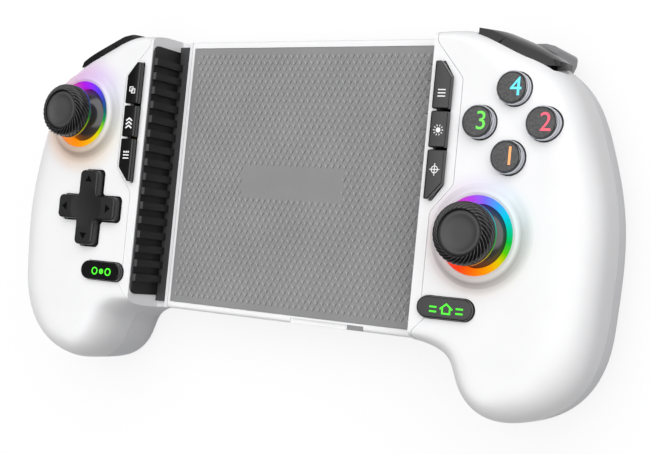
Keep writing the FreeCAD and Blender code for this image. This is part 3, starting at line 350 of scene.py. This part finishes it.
def roundMaterial(side, name, roughness, strength):
    # the ring gives off its own light; on a cap's lip the same colours are a painted reflection and glow of
    # the ring's light; its colour goes round the stick
    material, tree, shader = startMaterial(side + name, Roughness=roughness, Emission_Strength=strength)
    centre = middleOf(side + "_light_ring")
    dial = useGroup(tree, dialGroup, Centre_X=centre.x, Centre_Y=centre.y)
    colour = addRamp(tree, dial.outputs["Turn"], ringColours[side])
    dull = addMix(tree, "MULTIPLY", 1.0, colour, (0.25, 0.25, 0.25, 1))
    tree.links.new(dull, shader.inputs["Base Color"])
    tree.links.new(colour, shader.inputs["Emission Color"])
    return material


# the ring's light painted into the shell's colour: colours round the stick, and where it starts, ends and
# how strong it is
glow = {
    "right": [
        (0.0, (214, 190, 190)), (0.22, (236, 205, 196)), (0.36, (232, 222, 200)), (0.46, (205, 226, 205)),
        (0.56, (200, 240, 240)), (0.66, (205, 232, 255)), (0.76, (232, 216, 255)), (0.88, (240, 214, 236)),
        (1.0, (214, 190, 190))],
    "left": [
        (0.0, (252, 214, 190)), (0.20, (240, 196, 160)), (0.34, (246, 222, 190)), (0.46, (240, 240, 226)),
        (0.58, (232, 232, 250)), (0.68, (228, 196, 250)), (0.78, (238, 176, 242)), (0.88, (250, 205, 220)),
        (1.0, (252, 214, 190))],
    "reach": {"right": (13.0, 22.0, 0.40), "left": (13.0, 25.0, 0.70)},
}
# the shade round a collar's foot: its tone by distance (share of the span), its depth round the stick
collarShade = {
    "span": 20.0,
    "tone": [
        (0.675, (255, 255, 255)), (0.72, (206, 205, 205)), (0.78, (220, 220, 220)),
        (0.90, (255, 255, 255))],
    "depth": [
        (0.0, (120, 120, 120)), (0.22, (255, 255, 255)), (0.52, (255, 255, 255)), (0.64, (120, 120, 120)),
        (0.78, (60, 60, 60)), (1.0, (120, 120, 120))],
}
shellWhite = {"light": (250, 250, 251), "deep": (247, 247, 248), "gloss": (0.34, 0.40), "depth": 0.03,
              "Specular_IOR_Level": 0.35}


def litShellMaterial(side):
    # white shell with the ring's light painted into its colour close to the ring, and painted shade round
    # each collar's foot
    material = mouldedMaterial(side + "ShellWhite", **shellWhite)
    tree = material.node_tree
    shader = tree.nodes["Principled BSDF"]
    plain = shader.inputs["Base Color"].links[0].from_socket
    centre = middleOf(side + "_light_ring")
    dial = useGroup(tree, dialGroup, Centre_X=centre.x, Centre_Y=centre.y)
    near, far, power = glow["reach"][side]
    fade = addFade(tree, "SMOOTHERSTEP", dial.outputs["Distance"], (near, far), (power, 0.0))
    lit = addMix(tree, "MULTIPLY", fade, plain, addRamp(tree, dial.outputs["Turn"], glow[side]))
    # painted shade round the collar's foot, deeper on some sides of the stick
    share = addMath(tree, "DIVIDE", dial.outputs["Distance"], collarShade["span"])
    depth = addRamp(tree, dial.outputs["Turn"], collarShade["depth"])
    shaded = addMix(tree, "MULTIPLY", depth, lit, addRamp(tree, share, collarShade["tone"]))
    tree.links.new(shaded, shader.inputs["Base Color"])
    return material


# wall: the slot's half width; span: how far in front of it the ramp starts; heights below the grip's face
# painted shade in the recesses between ribs, painted light on the rib tops; the right side's tones are a
# lit copy of the left's
jawPaintedShading = {
    "wall": 56.0, "span": 3.0, "ribEnd": 0.62, "recessStart": 0.78, "topBelow": 1.05, "footBelow": 15.1,
    "recess": (9, 9, 10), "foot": (66, 66, 67),
    "left": {"ribFace": (24, 24, 25), "ribTop": (70, 70, 71)},
    "right": {"ribFace": (60, 60, 61), "ribTop": (122, 122, 123)},
}


def jawMaterial(side):
    # rubber pad: painted shade between the ribs, painted light on the rib ends, paler along the foot; the
    # right pad painted paler than the left as its lit copy
    material = mouldedMaterial(side + "JawRubber", (255, 255, 255), (236, 236, 236), (0.50, 0.60),
                               grain=2400.0, depth=0.15)
    tree = material.node_tree
    shader = tree.nodes["Principled BSDF"]
    plain = shader.inputs["Base Color"].links[0].from_socket
    split = tree.nodes.new("ShaderNodeSeparateXYZ")
    tree.links.new(tree.nodes.new("ShaderNodeTexCoord").outputs["Object"], split.inputs[0])
    span = jawPaintedShading["span"]
    out = addMath(tree, "ABSOLUTE", split.outputs["X"])
    out = addMath(tree, "MULTIPLY_ADD", out, 1000.0, span - jawPaintedShading["wall"])
    shade = addRamp(tree, addMath(tree, "DIVIDE", out, span), [
        (jawPaintedShading["ribEnd"], jawPaintedShading[side]["ribFace"]), (jawPaintedShading["recessStart"], jawPaintedShading["recess"])])
    height = addMath(tree, "MULTIPLY_ADD", split.outputs["Z"], 1000.0, -faceHeight * 1000)
    topMask = addMath(tree, "GREATER_THAN", height, -jawPaintedShading["topBelow"])
    footMask = addMath(tree, "LESS_THAN", height, -jawPaintedShading["footBelow"])
    shade = addMix(tree, "MIX", topMask, shade, linear(jawPaintedShading[side]["ribTop"]))
    shade = addMix(tree, "MIX", footMask, shade, linear(jawPaintedShading["foot"]))
    tree.links.new(addMix(tree, "MULTIPLY", 1.0, shade, plain), shader.inputs["Base Color"])
    return material


def lightMark(name, colour, strength):
    return mouldedMaterial(name, colour, colour, (0.4, 0.5), depth=0.02, Emission_Color=linear(colour),
                           Emission_Strength=strength)


materials = {
    "rightShell": litShellMaterial("right"),
    "leftShell": litShellMaterial("left"),
    "shell": mouldedMaterial("shellWhite", **shellWhite),
    "rear": mouldedMaterial("rearWhite", (244, 244, 246), (239, 239, 241), (0.44, 0.52), grain=1500.0,
                            depth=0.10, Specular_IOR_Level=0.3),
    "mat": mouldedMaterial("matGrey", (147, 147, 147), (140, 140, 141), (0.52, 0.62), grain=3200.0,
                           depth=0.10),
    # painted light and painted shade for the mat scales' slopes
    "matLight": mouldedMaterial("matScaleLight", (200, 200, 200), (188, 188, 189), (0.45, 0.55),
                                grain=3200.0),
    "matDark": mouldedMaterial("matScaleDark", (126, 126, 126), (118, 118, 119), (0.55, 0.65),
                               grain=3200.0),
    "leftJaw": jawMaterial("left"),
    "rightJaw": jawMaterial("right"),
    "rightRing": roundMaterial("right", "RingLight", 0.35, 0.85),
    "leftRing": roundMaterial("left", "RingLight", 0.35, 0.85),
    # caps' lips: painted reflection and glow of the ring's light, in base colour and emission
    "rightLip": roundMaterial("right", "CapLip", 0.15, 0.30),
    "leftLip": roundMaterial("left", "CapLip", 0.15, 0.30),
    "dome": mouldedMaterial("domeGloss", (74, 72, 73), (62, 60, 61), (0.12, 0.18), depth=0.01,
                            Coat_Weight=0.6),
    "knurl": mouldedMaterial("capKnurl", (24, 23, 24), (18, 17, 18), (0.30, 0.38), depth=0.04),
    # painted highlight on the blade crests
    "crest": mouldedMaterial("capCrest", (112, 109, 112), (98, 95, 98), (0.30, 0.38), depth=0.04),
    # painted shade in the blade roots, the groove round the disc and the screw drive recesses
    "groove": mouldedMaterial("capGroove", (10, 9, 10), (6, 6, 6), (0.35, 0.45), depth=0.02),
    "disc": mouldedMaterial("capDisc", (72, 72, 73), (64, 64, 65), (0.50, 0.60), grain=3000.0, depth=0.12),
    "cross": mouldedMaterial("crossSatin", (32, 32, 33), (26, 26, 27), (0.30, 0.38), depth=0.05),
    # matte arrows, their near-black a painted shade of the engraving
    "arrow": mouldedMaterial("arrowRecess", (5, 5, 5), (3, 3, 3), (0.8, 0.9), Specular_IOR_Level=0.1),
    "gloss": mouldedMaterial("buttonGloss", (18, 18, 19), (12, 12, 13), (0.09, 0.15), depth=0.01,
                             Coat_Weight=0.3),
    "face": mouldedMaterial("faceCore", (92, 92, 93), (54, 54, 55), (0.30, 0.40), grain=2000.0, depth=0.04,
                            drift=1500.0),
    "ink": mouldedMaterial("faceRim", (16, 16, 16), (12, 12, 12), (0.15, 0.25)),
    "bumper": mouldedMaterial("bumperGloss", (30, 30, 31), (24, 24, 25), (0.20, 0.28), depth=0.02,
                              Specular_IOR_Level=0.4),
    "trigger": mouldedMaterial("triggerSatin", (142, 142, 144), (130, 130, 132), (0.30, 0.42), depth=0.06),
    "stop": mouldedMaterial("stopGrey", (150, 150, 152), (136, 136, 138), (0.4, 0.5)),
    "nylon": mouldedMaterial("naturalNylon", (232, 230, 222), (222, 220, 212), (0.4, 0.5)),
    "board": mouldedMaterial("boardGreen", (28, 92, 58), (20, 74, 46), (0.25, 0.35), grain=900.0),
    "membrane": mouldedMaterial("membraneGrey", (150, 150, 152), (138, 138, 140), (0.5, 0.6)),
    "battery": mouldedMaterial("cellWrap", (64, 110, 160), (52, 96, 146), (0.3, 0.4)),
    "film": mouldedMaterial("cableFilm", (190, 110, 30), (170, 92, 22), (0.2, 0.3)),
    "steel": mouldedMaterial("machinedSteel", (196, 196, 200), (176, 176, 182), (0.22, 0.34),
                             Metallic=1.0),
    "chrome": mouldedMaterial("rimChrome", (206, 208, 214), (190, 192, 198), (0.08, 0.14), depth=0.0,
                              Metallic=1.0),
    "white": lightMark("markWhite", (225, 225, 226), 0.35),
    "green": lightMark("markGreen", (70, 225, 40), 0.75),
    "faceGreen": lightMark("numberGreen", (96, 206, 72), 0.75),
    "faceBlue": lightMark("numberBlue", (90, 205, 225), 0.75),
    "faceRed": lightMark("numberRed", (222, 84, 104), 0.75),
    "faceOrange": lightMark("numberOrange", (236, 152, 92), 0.75),
}

# capital words take the side's own material
finishOf = {
    "front_shell": "Shell", "rear_shell": "rear", "jaw_frame": "shell", "jaw_pad": "Jaw",
    "light_ring": "Ring", "stick_module": "cross", "stick_rocker": "nylon", "stick_pivot": "nylon",
    "stick_shaft": "steel", "stick_cap": "knurl", "board": "board", "membrane": "membrane",
    "screws": "steel", "bumper": "bumper", "trigger": "trigger", "shoulder_pins": "steel",
    "bridge_cover": "shell", "bridge_tray": "shell", "bridge_mat": "mat", "stop_block": "stop",
    "tongue": "stop", "return_springs": "steel", "flex_cable": "film", "battery": "battery",
    "charging_socket": "steel", "direction_cross": "cross", "direction_pivot": "nylon",
}


def finishFor(name):
    side, _, rest = name.partition("_")
    kind = rest if side in ("left", "right") else name
    key = finishOf.get(kind)
    if key in ("Shell", "Ring", "Jaw"):
        return materials[side + key]
    if key:
        return materials[key]
    if name.startswith("face_button_cap"):
        return materials["chrome"]
    if name.startswith("face_button"):
        return materials["face"]
    return materials["gloss"]


for name, node in nodes.items():
    node.data.materials.clear()
    node.data.materials.append(finishFor(name))
print("materials assigned")


# mesh helpers
def addPiece(name, points, faces, body, finishes, smoothAngle=None, stands=(), picks=None):
    # finishes: names of its materials; picks: which of them each face has; stands: the solids it replaces
    mesh = bpy.data.meshes.new(name)
    mesh.from_pydata([tuple(point) for point in points], [], faces)
    for finish in finishes:
        mesh.materials.append(materials[finish])
    if picks:
        mesh.polygons.foreach_set("material_index", picks)
    mesh.update()
    if smoothAngle:
        mesh.shade_smooth()
        mesh.set_sharp_from_angle(angle=math.radians(smoothAngle))
    piece = bpy.data.objects.new(name, mesh)
    bpy.context.scene.collection.objects.link(piece)
    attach(piece, body)
    if stands:
        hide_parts(*stands)
    return piece


def turnedFaces(rings, steps):
    # four-cornered faces between each ring of corners and the next
    faces = []
    for start in range(0, (len(rings) - 1) * steps, steps):
        for step in range(steps):
            ahead = (step + 1) % steps
            faces.append((start + step, start + ahead, start + steps + ahead, start + steps + step))
    return faces


def slab(outline, low, high, centre):
    # points and faces of a thin plate with that outline (millimetres about centre)
    count = len(outline)
    points = [centre + Vector((x, y, low)) / 1000 for x, y in outline]
    points += [centre + Vector((x, y, high)) / 1000 for x, y in outline]
    faces = [tuple(range(count, 2 * count)), tuple(reversed(range(count)))]
    faces += [(i, (i + 1) % count, count + (i + 1) % count, count + i) for i in range(count)]
    return points, faces


def joinShapes(shapes):
    points = []
    faces = []
    for somePoints, someFaces in shapes:
        start = len(points)
        points += somePoints
        faces += [tuple(start + index for index in face) for face in someFaces]
    return points, faces


# sticks: glossy dome, neck, knurled rim and dished disc in one turned piece
stickCap = {
    "vanes": 32, "samples": 8, "depth": 0.55, "sweep": -50.0, "rise": 0.62, "crest": 0.80, "drop": 0.10,
    # the lip takes the ring's painted glow, the crest a painted highlight, groove painted shade
    "finishes": ["dome", "knurl", "groove", "lip", "disc", "crest"],
    # material numbers across one blade: painted shade on the root and drop, dark flank, painted highlight
    # on the crest
    "blade": (2, 1, 1, 1, 1, 5, 2, 2),
    "domeOuter": 12.5, "domeInner": 11.4, "domeCentre": -10.0, "domeEdge": 68.0, "domeTop": 25.0,
    "innerSteps": 3, "outerSteps": 9, "neck": 4.6, "neckFillet": 0.35, "smooth": 32,
}


def stickRings():
    # radius, height, material number, vane depth share, share of the sweep
    outer, inner = stickCap["domeOuter"], stickCap["domeInner"]
    pivot, neck = stickCap["domeCentre"], stickCap["neck"]
    edge, top = math.radians(stickCap["domeEdge"]), math.radians(stickCap["domeTop"])
    end = math.asin((neck + stickCap["neckFillet"]) / outer)
    under, over = stickCap["innerSteps"], stickCap["outerSteps"]
    inside = [top + (edge - top) * step / under for step in range(under + 1)]
    outside = [edge + (end - edge) * step / over for step in range(over + 1)]
    rings = [(inner * math.sin(angle), pivot + inner * math.cos(angle), 0, 0, 0) for angle in inside]
    rings += [(outer * math.sin(angle), pivot + outer * math.cos(angle), 0, 0, 0) for angle in outside]
    rings += [
        (neck, 2.1, 0, 0, 0), (neck, 6.3, 0, 0, 0), (neck + 0.4, 6.7, 0, 0, 0), (8.4, 6.7, 0, 0, 0),
        (9.2, 6.9, 3, 0, 0), (9.46, 7.15, 3, 0, 0), (9.48, 7.5, 3, 0, 0), (9.35, 7.72, 3, 0, 0),
        (9.2, 7.8, 2, 0, 1.0), (9.3, 8.1, 1, 0.7, 0.95), (9.4, 8.8, 1, 1.0, 0.86),
        (9.44, 9.6, 1, 1.0, 0.76), (9.42, 10.3, 1, 1.0, 0.67), (9.34, 10.95, 1, 1.0, 0.58),
        (9.14, 11.5, 1, 1.0, 0.49), (8.82, 11.98, 1, 1.0, 0.39), (8.38, 12.34, 1, 1.0, 0.28),
        (7.88, 12.58, 1, 0.9, 0.17), (7.42, 12.72, 1, 0.55, 0.07), (7.12, 12.78, 1, 0, 0),
        (6.95, 12.72, 2, 0, 0), (6.85, 12.2, 2, 0, 0), (6.6, 12.0, 2, 0, 0),
        (6.42, 12.16, 4, 0, 0), (6.2, 12.38, 4, 0, 0), (5.85, 12.44, 4, 0, 0), (5.4, 12.3, 4, 0, 0),
        (4.9, 12.0, 4, 0, 0), (4.2, 11.74, 4, 0, 0), (2.8, 11.6, 4, 0, 0), (1.2, 11.56, 4, 0, 0),
        (0.02, 11.55, 4, 0, 0),
    ]
    return rings


def vane(part):
    # one blade's section: a long rise, a crest and a sheer drop, 0 on the crest and -1 in the root
    if part < stickCap["rise"]:
        return -1 + part / stickCap["rise"]
    if part < stickCap["crest"]:
        return 0.0
    return -min(1.0, (part - stickCap["crest"]) / stickCap["drop"])


def makeStick(side):
    centre = middleOf(side + "_light_ring")
    centre.z = faceHeight
    rings = stickRings()
    samples = stickCap["samples"]
    steps = stickCap["vanes"] * samples
    knurl = stickCap["finishes"].index("knurl")
    points = []
    for index, (radius, height, _, share, swept) in enumerate(rings):
        before, after = rings[max(index - 1, 0)], rings[min(index + 1, len(rings) - 1)]
        normal = Vector((after[1] - before[1], before[0] - after[0])).normalized()
        for step in range(steps):
            offset = stickCap["depth"] * share * vane((step % samples) / samples)
            angle = 2 * math.pi * step / steps + math.radians(stickCap["sweep"] * swept)
            away = radius + normal.x * offset
            local = Vector((away * math.cos(angle), away * math.sin(angle), height + normal.y * offset))
            points.append(centre + local / 1000)
    picks = []
    for ring, below in zip(rings[1:], rings):
        vaned = ring[2] == knurl and below[3] > 0
        picks += [stickCap["blade"][step % samples] if vaned else ring[2] for step in range(steps)]
    finishes = [side + "Lip" if finish == "lip" else finish for finish in stickCap["finishes"]]
    addPiece(side + "_thumb_stick", points, turnedFaces(rings, steps), side + "_stick", finishes,
             stickCap["smooth"], (side + "_stick_cap",), picks)


for side in ("right", "left"):
    makeStick(side)
print("sticks turned")


# mat: staggered rows of small arrow scales round a bare rectangle (left, right, bottom, top in the slot)
matPattern = {
    "pitchX": 2.42, "pitchY": 2.18, "rise": 0.24, "sunk": 0.02, "point": 0.45, "reach": 0.42, "rim": 0.25,
    "gap": 0.50, "sideMargin": 1.3, "lowMargin": 2.3, "highMargin": 1.6, "bare": (-22.5, 17.5, -5.7, 4.7),
    "finishes": ["mat", "matLight", "matDark"],
    # material numbers of a scale's seven faces: painted light on the left slope and rim, painted shade on
    # the right slope
    "scale": (1, 2, 1, 0, 0, 0, 0),
}


def arrowScale(centre, wide, tall):
    # one scale: its lower edge is a raised point, its upper end runs down into the mat
    half = wide / 2 - matPattern["gap"]
    point = matPattern["point"] * tall
    reach = matPattern["reach"] * tall
    rim = matPattern["rim"]
    rise = matPattern["rise"]
    sunk = -matPattern["sunk"]
    corners = [
        (-half, -rim, sunk), (0, -point - rim, sunk), (half, -rim, sunk),
        (-half, 0, rise), (0, -point, rise), (half, 0, rise),
        (-half, rim, rise), (0, rim - point, rise), (half, rim, rise),
        (half, reach, sunk), (-half, reach, sunk),
    ]
    points = [centre + Vector(corner) / 1000 for corner in corners]
    slopes = [(0, 1, 4, 3), (1, 2, 5, 4)]
    rims = [(3, 4, 7, 6), (4, 5, 8, 7)]
    return points, slopes + rims + [(6, 7, 8, 9, 10), (2, 9, 8, 5), (0, 3, 6, 10)]


def makeMatScales():
    pitchX = matPattern["pitchX"] / 1000
    pitchY = matPattern["pitchY"] / 1000
    side = matPattern["sideMargin"] / 1000 + pitchX / 2
    start = matLow.y + matPattern["lowMargin"] / 1000
    end = matHigh.y - matPattern["highMargin"] / 1000
    left, right, bottom, top = matPattern["bare"]
    rows = 1 + int((end - start) / pitchY - matPattern["point"] - matPattern["reach"])
    columns = int((matHigh.x - matLow.x - 2 * side) / pitchX)
    shapes = []
    for row in range(rows):
        y = start + (row + matPattern["point"]) * pitchY
        slotY = (y + pitchY / 2 - slotMiddleY) * 1000
        for column in range(columns + (row + 1) % 2):
            x = matLow.x + side + (column + row % 2 / 2) * pitchX
            if not (left < x * 1000 < right and bottom < slotY < top):
                centre = Vector((x, y, matHigh.z))
                shapes.append(arrowScale(centre, matPattern["pitchX"], matPattern["pitchY"]))
    points, faces = joinShapes(shapes)
    picks = matPattern["scale"] * len(shapes)
    addPiece("mat_scales", points, faces, "base", matPattern["finishes"], picks=picks)
    print("mat scales laid in", rows, "rows")


makeMatScales()


# flat marks
def bar(x0, y0, x1, y1, width):
    along = Vector((x1 - x0, y1 - y0)).normalized() * width / 2
    side = Vector((-along.y, along.x))
    a, b = Vector((x0, y0)), Vector((x1, y1))
    return [tuple(a - side), tuple(b - side), tuple(b + side), tuple(a + side)]


def disc(x, y, radius, steps=24):
    angles = [2 * math.pi * step / steps for step in range(steps)]
    return [(x + radius * math.cos(angle), y + radius * math.sin(angle)) for angle in angles]


def hoop(x, y, radius, width, steps=32, lap=0.04):
    # a ring as a row of short bars, each a little over the next
    inner, outer = radius - width / 2, radius + width / 2
    bars = []
    for step in range(steps):
        a, b = (2 * math.pi * turn / steps for turn in (step, step + 1 + lap))
        corners = ((inner, a), (outer, a), (outer, b), (inner, b))
        bars.append([(x + away * math.cos(turn), y + away * math.sin(turn)) for away, turn in corners])
    return bars


def frameSquare(x, y, half, width):
    rails = [bar(x - half, y + side, x + half, y + side, width) for side in (-half, half)]
    tall = half + width / 2
    return rails + [bar(x + side, y - tall, x + side, y + tall, width) for side in (-half, half)]


def upArrow(y, reach, width, slope=0.7, lap=0.08, rise=0.05):
    # two bars that lap at the tip
    foot = y - reach * slope
    tip = y + rise
    return [bar(-reach, foot, lap, tip, width), bar(reach, foot, -lap, tip, width)]


def sunRays(inner, outer, count, width):
    angles = [2 * math.pi * k / count for k in range(count)]
    return [bar(inner * math.cos(a), inner * math.sin(a), outer * math.cos(a), outer * math.sin(a), width)
            for a in angles]


marks = {
    "select_button": {"body": "select", "at": (-61.1, 27.4), "ink": "white",
                      "shapes": frameSquare(-0.45, 0.35, 0.72, 0.30)
                      + frameSquare(0.45, -0.35, 0.72, 0.30)},
    "turbo_button": {"body": "turbo", "at": (-61.1, 15.9), "ink": "white",
                     "shapes": [stroke for y in (1.5, 0.2, -1.1) for stroke in upArrow(y, 1.35, 0.5)]},
    "macro_button": {"body": "macro", "at": (-61.0, 4.3), "ink": "white",
                     "shapes": [disc(-0.95, 1.1, 0.36), disc(0, 1.1, 0.36), disc(0.95, 1.1, 0.36),
                                bar(-1.3, 0, 1.3, 0, 0.42), bar(-1.3, -1.1, 1.3, -1.1, 0.42)]},
    "start_button": {"body": "start", "at": (61.5, 27.4), "ink": "white",
                     "shapes": [bar(-1.3, height, 1.3, height, 0.34) for height in (-1.0, 0, 1.0)]},
    "brightness_button": {"body": "brightness", "at": (61.5, 16.1), "ink": "white",
                          "shapes": [disc(0, 0, 0.78)] + sunRays(1.2, 1.7, 10, 0.26)},
    "aim_button": {"body": "aim", "at": (61.5, 4.1), "ink": "white",
                   "shapes": hoop(0, 0, 1.05, 0.24)
                   + [bar(-1.7, 0, 1.7, 0, 0.22), bar(0, -1.9, 0, 1.9, 0.22)]},
    "lighting_button": {"body": "lighting", "at": (-67.8, -37.4), "ink": "green",
                        "shapes": [disc(0, 0, 0.95)] + hoop(-3.1, 0, 1.15, 0.45)
                        + hoop(3.1, 0, 1.15, 0.45)},
    "home_button": {"body": "home", "at": (69.3, -37.4), "ink": "green",
                    "shapes": [bar(-2.1, -0.1, 0.12, 1.62, 0.5), bar(2.1, -0.1, -0.12, 1.62, 0.5),
                               bar(-1.25, -1.4, -1.25, 0.5, 0.5), bar(1.25, -1.4, 1.25, 0.5, 0.5),
                               bar(-1.5, -1.35, 1.5, -1.35, 0.5),
                               bar(-5.6, -1.0, -3.2, -1.0, 0.5), bar(3.2, -1.0, 5.6, -1.0, 0.5),
                               bar(-5.6, 0.4, -3.2, 0.4, 0.5), bar(3.2, 0.4, 5.6, 0.4, 0.5)]},
}
# each shape of a mark is a step prouder than the one before, so that crossing bars don't share a face
markSize = {"proud": 0.06, "sunk": 0.15, "step": 0.002}


def makeMark(node, mark):
    centre = spot(*mark["at"], 0)
    centre.z = topOf(node)
    shapes = [slab(outline, -markSize["sunk"], markSize["proud"] + markSize["step"] * index, centre)
              for index, outline in enumerate(mark["shapes"])]
    points, faces = joinShapes(shapes)
    addPiece(node + "_mark", points, faces, mark["body"], [mark["ink"]])


for node, mark in marks.items():
    makeMark(node, mark)


# crosses in the heads of the rear shell's screws, drawn flat and dark: painted shade of the cross recesses
screwDrives = {
    "at": [(91.8, -50.1), (93.5, 1.5), (62.6, 26.0), (62.6, -26.0)],
    "depth": -32.6, "reach": 1.35, "wide": 0.5, "high": 0.3, "proud": 0.02, "step": 0.005,
}


def makeScrewDrives(side):
    sign = 1 if side == "right" else -1
    reach, wide = screwDrives["reach"], screwDrives["wide"]
    low, high = -screwDrives["proud"], screwDrives["high"]
    shapes = []
    for x, y in screwDrives["at"]:
        centre = spot(sign * x, y, screwDrives["depth"])
        shapes.append(slab(bar(-reach, 0, reach, 0, wide), low, high, centre))
        shapes.append(slab(bar(0, -reach, 0, reach, wide), low - screwDrives["step"], high, centre))
    points, faces = joinShapes(shapes)
    addPiece(side + "_screw_drives", points, faces, "base" if side == "right" else "left_grip", ["groove"])


for side in ("right", "left"):
    makeScrewDrives(side)


# sunk arrows on the arms of the direction cross: flat triangles set into its top, matte, and near-black as
# painted shade of the engraving
crossArrows = {"out": 9.2, "wide": 1.6, "long": 2.3, "proud": 0.02, "sunk": 0.32}


def makeCrossArrows():
    centre = middleOf("direction_cross")
    centre.z = topOf("direction_cross")
    wide, out = crossArrows["wide"], crossArrows["out"]
    corners = [(-wide, out), (wide, out), (0, out + crossArrows["long"])]
    shapes = []
    for quarter in range(4):
        turn = Matrix.Rotation(quarter * math.pi / 2, 2)
        outline = [tuple(turn @ Vector(corner)) for corner in corners]
        shapes.append(slab(outline, -crossArrows["sunk"], crossArrows["proud"], centre))
    points, faces = joinShapes(shapes)
    addPiece("cross_arrows", points, faces, "cross", ["arrow"])


makeCrossArrows()
print("marks set")


# face buttons: bright skirt with a dark line, black ring, speckled disc and a plain number on it
faceButtons = {
    "numbers": {"one": ("1", "faceOrange"), "two": ("2", "faceRed"), "three": ("3", "faceGreen"),
                "four": ("4", "faceBlue")},
    "numberSize": 7.9, "numberAside": 1.4, "numberThick": 0.06, "numberDepth": 0.06,
    "foot": -1.0, "footWide": 0.3, "line": 1.35, "lineWide": 0.3, "disc": 4.22, "ring": 0.46, "tight": 0.02,
    # steps of the rounded edge: in from the skirt, down from the crest
    "edge": [(0.0, 0.75), (0.05, 0.50), (0.16, 0.28), (0.30, 0.13)],
    "steps": 72, "smooth": 30, "finishes": ["chrome", "ink", "face"],
}


def makeCap(word, centre, radius, rise):
    # rings of (radius, height, material number) in millimetres about an upright axis
    foot, core, tight = faceButtons["foot"], faceButtons["disc"], faceButtons["tight"]
    ring = core + faceButtons["ring"]
    line = rise - faceButtons["line"]
    rings = [(radius - faceButtons["footWide"], foot, 0), (radius, foot, 0)]
    rings += [(radius, line - faceButtons["lineWide"], 0), (radius, line, 1)]
    rings += [(radius - inward, rise - down, 0) for inward, down in faceButtons["edge"]]
    # black ring, then the disc
    rings += [(ring + tight, rise - 0.04, 0), (ring, rise - 0.06, 1), (core + tight, rise - 0.10, 1),
              (core, rise - 0.10, 1), (core - tight, rise - 0.12, 2), (core * 0.5, rise - 0.06, 2),
              (0.01, rise - 0.05, 2)]
    steps = faceButtons["steps"]
    angles = [2 * math.pi * step / steps for step in range(steps)]
    points = [centre + Vector((away * math.cos(angle), away * math.sin(angle), height)) / 1000
              for away, height, _ in rings for angle in angles]
    picks = [finish for _, _, finish in rings[1:] for _ in angles]
    addPiece("cap_" + word, points, turnedFaces(rings, steps), "face_" + word, faceButtons["finishes"],
             faceButtons["smooth"], ("face_button_cap_" + word,), picks)


def makeNumber(word, digit, ink, place):
    curve = bpy.data.curves.new("number_" + word, "FONT")
    curve.body = digit
    curve.size = faceButtons["numberSize"] / 1000
    curve.align_x = "CENTER"
    curve.align_y = "CENTER"
    curve.extrude = faceButtons["numberThick"] / 2000
    holder = bpy.data.objects.new("numberDraft", curve)
    bpy.context.scene.collection.objects.link(holder)
    bpy.context.view_layer.update()
    mesh = bpy.data.meshes.new_from_object(holder)
    bpy.data.objects.remove(holder)
    mesh.transform(Matrix.Translation(place))
    mesh.materials.clear()
    mesh.materials.append(materials[ink])
    piece = bpy.data.objects.new("number_" + word, mesh)
    bpy.context.scene.collection.objects.link(piece)
    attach(piece, "face_" + word)


def makeFaceButton(word, digit, ink):
    low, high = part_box("face_button_cap_" + word)
    centre = (low + high) / 2
    centre.z = faceHeight
    rise = (high.z - faceHeight) * 1000
    makeCap(word, centre, (high.x - low.x) / 2 * 1000, rise)
    aside = Vector((faceButtons["numberAside"], 0, rise - faceButtons["numberDepth"]))
    makeNumber(word, digit, ink, centre + aside / 1000)


for word, (digit, ink) in faceButtons["numbers"].items():
    makeFaceButton(word, digit, ink)
print("face buttons capped")


# pieces drawn from a solid's own faces
def draftOf(name):
    # the solid's mesh in the frame's axes, its corners welded
    node = nodes[name]
    draft = bmesh.new()
    draft.from_mesh(node.data)
    draft.transform(node.matrix_world)
    bmesh.ops.remove_doubles(draft, verts=draft.verts, dist=0.00001)
    draft.normal_update()
    return draft


def addDraft(name, draft, body, finish, solid, smoothAngle=30):
    draft.verts.index_update()
    points = [vertex.co.copy() for vertex in draft.verts]
    faces = [tuple(vertex.index for vertex in face.verts) for face in draft.faces]
    draft.free()
    addPiece(name, points, faces, body, [finish], smoothAngle, (solid,))


# bumpers: the blade stands a little prouder of the shell than its solid
blade = {"lift": 1.3, "fade": 2.6, "outward": 0.2}


def makeBumper(side):
    # the faces that look away from the shell are lifted, less so near the product's top
    draft = draftOf(side + "_bumper")
    for vertex in draft.verts:
        if vertex.normal.y > blade["outward"]:
            room = max(0.0, cadBox[1].y - vertex.co.y) * 1000
            vertex.co.y += blade["lift"] * min(1.0, room / blade["fade"]) / 1000
    addDraft(side + "_bumper_blade", draft, side + "_bumper_body", "bumper", side + "_bumper")


for side in ("right", "left"):
    makeBumper(side)
print("bumpers dressed")


# side buttons: above the frame the cap is wider than the well that it slides in
sideCap = {"wide": 5.7, "low": 0.90, "step": 0.05}


def makeSideCap(word):
    draft = draftOf(word + "_button")
    for height in (sideCap["low"], sideCap["low"] + sideCap["step"]):
        everything = draft.verts[:] + draft.edges[:] + draft.faces[:]
        level = (0, 0, faceHeight + height / 1000)
        bmesh.ops.bisect_plane(draft, geom=everything, plane_co=level, plane_no=(0, 0, 1))
    floor = faceHeight + (sideCap["low"] + sideCap["step"] / 2) / 1000
    above = [vertex for vertex in draft.verts if vertex.co.z > floor]
    across = [vertex.co.x for vertex in above]
    middle = (min(across) + max(across)) / 2
    spread = sideCap["wide"] / 1000 / (max(across) - min(across))
    for vertex in above:
        vertex.co.x = middle + (vertex.co.x - middle) * spread
    addDraft(word + "_cap", draft, word, "gloss", word + "_button")


for word in ("select", "turbo", "macro", "start", "brightness", "aim"):
    makeSideCap(word)
print("side buttons capped")
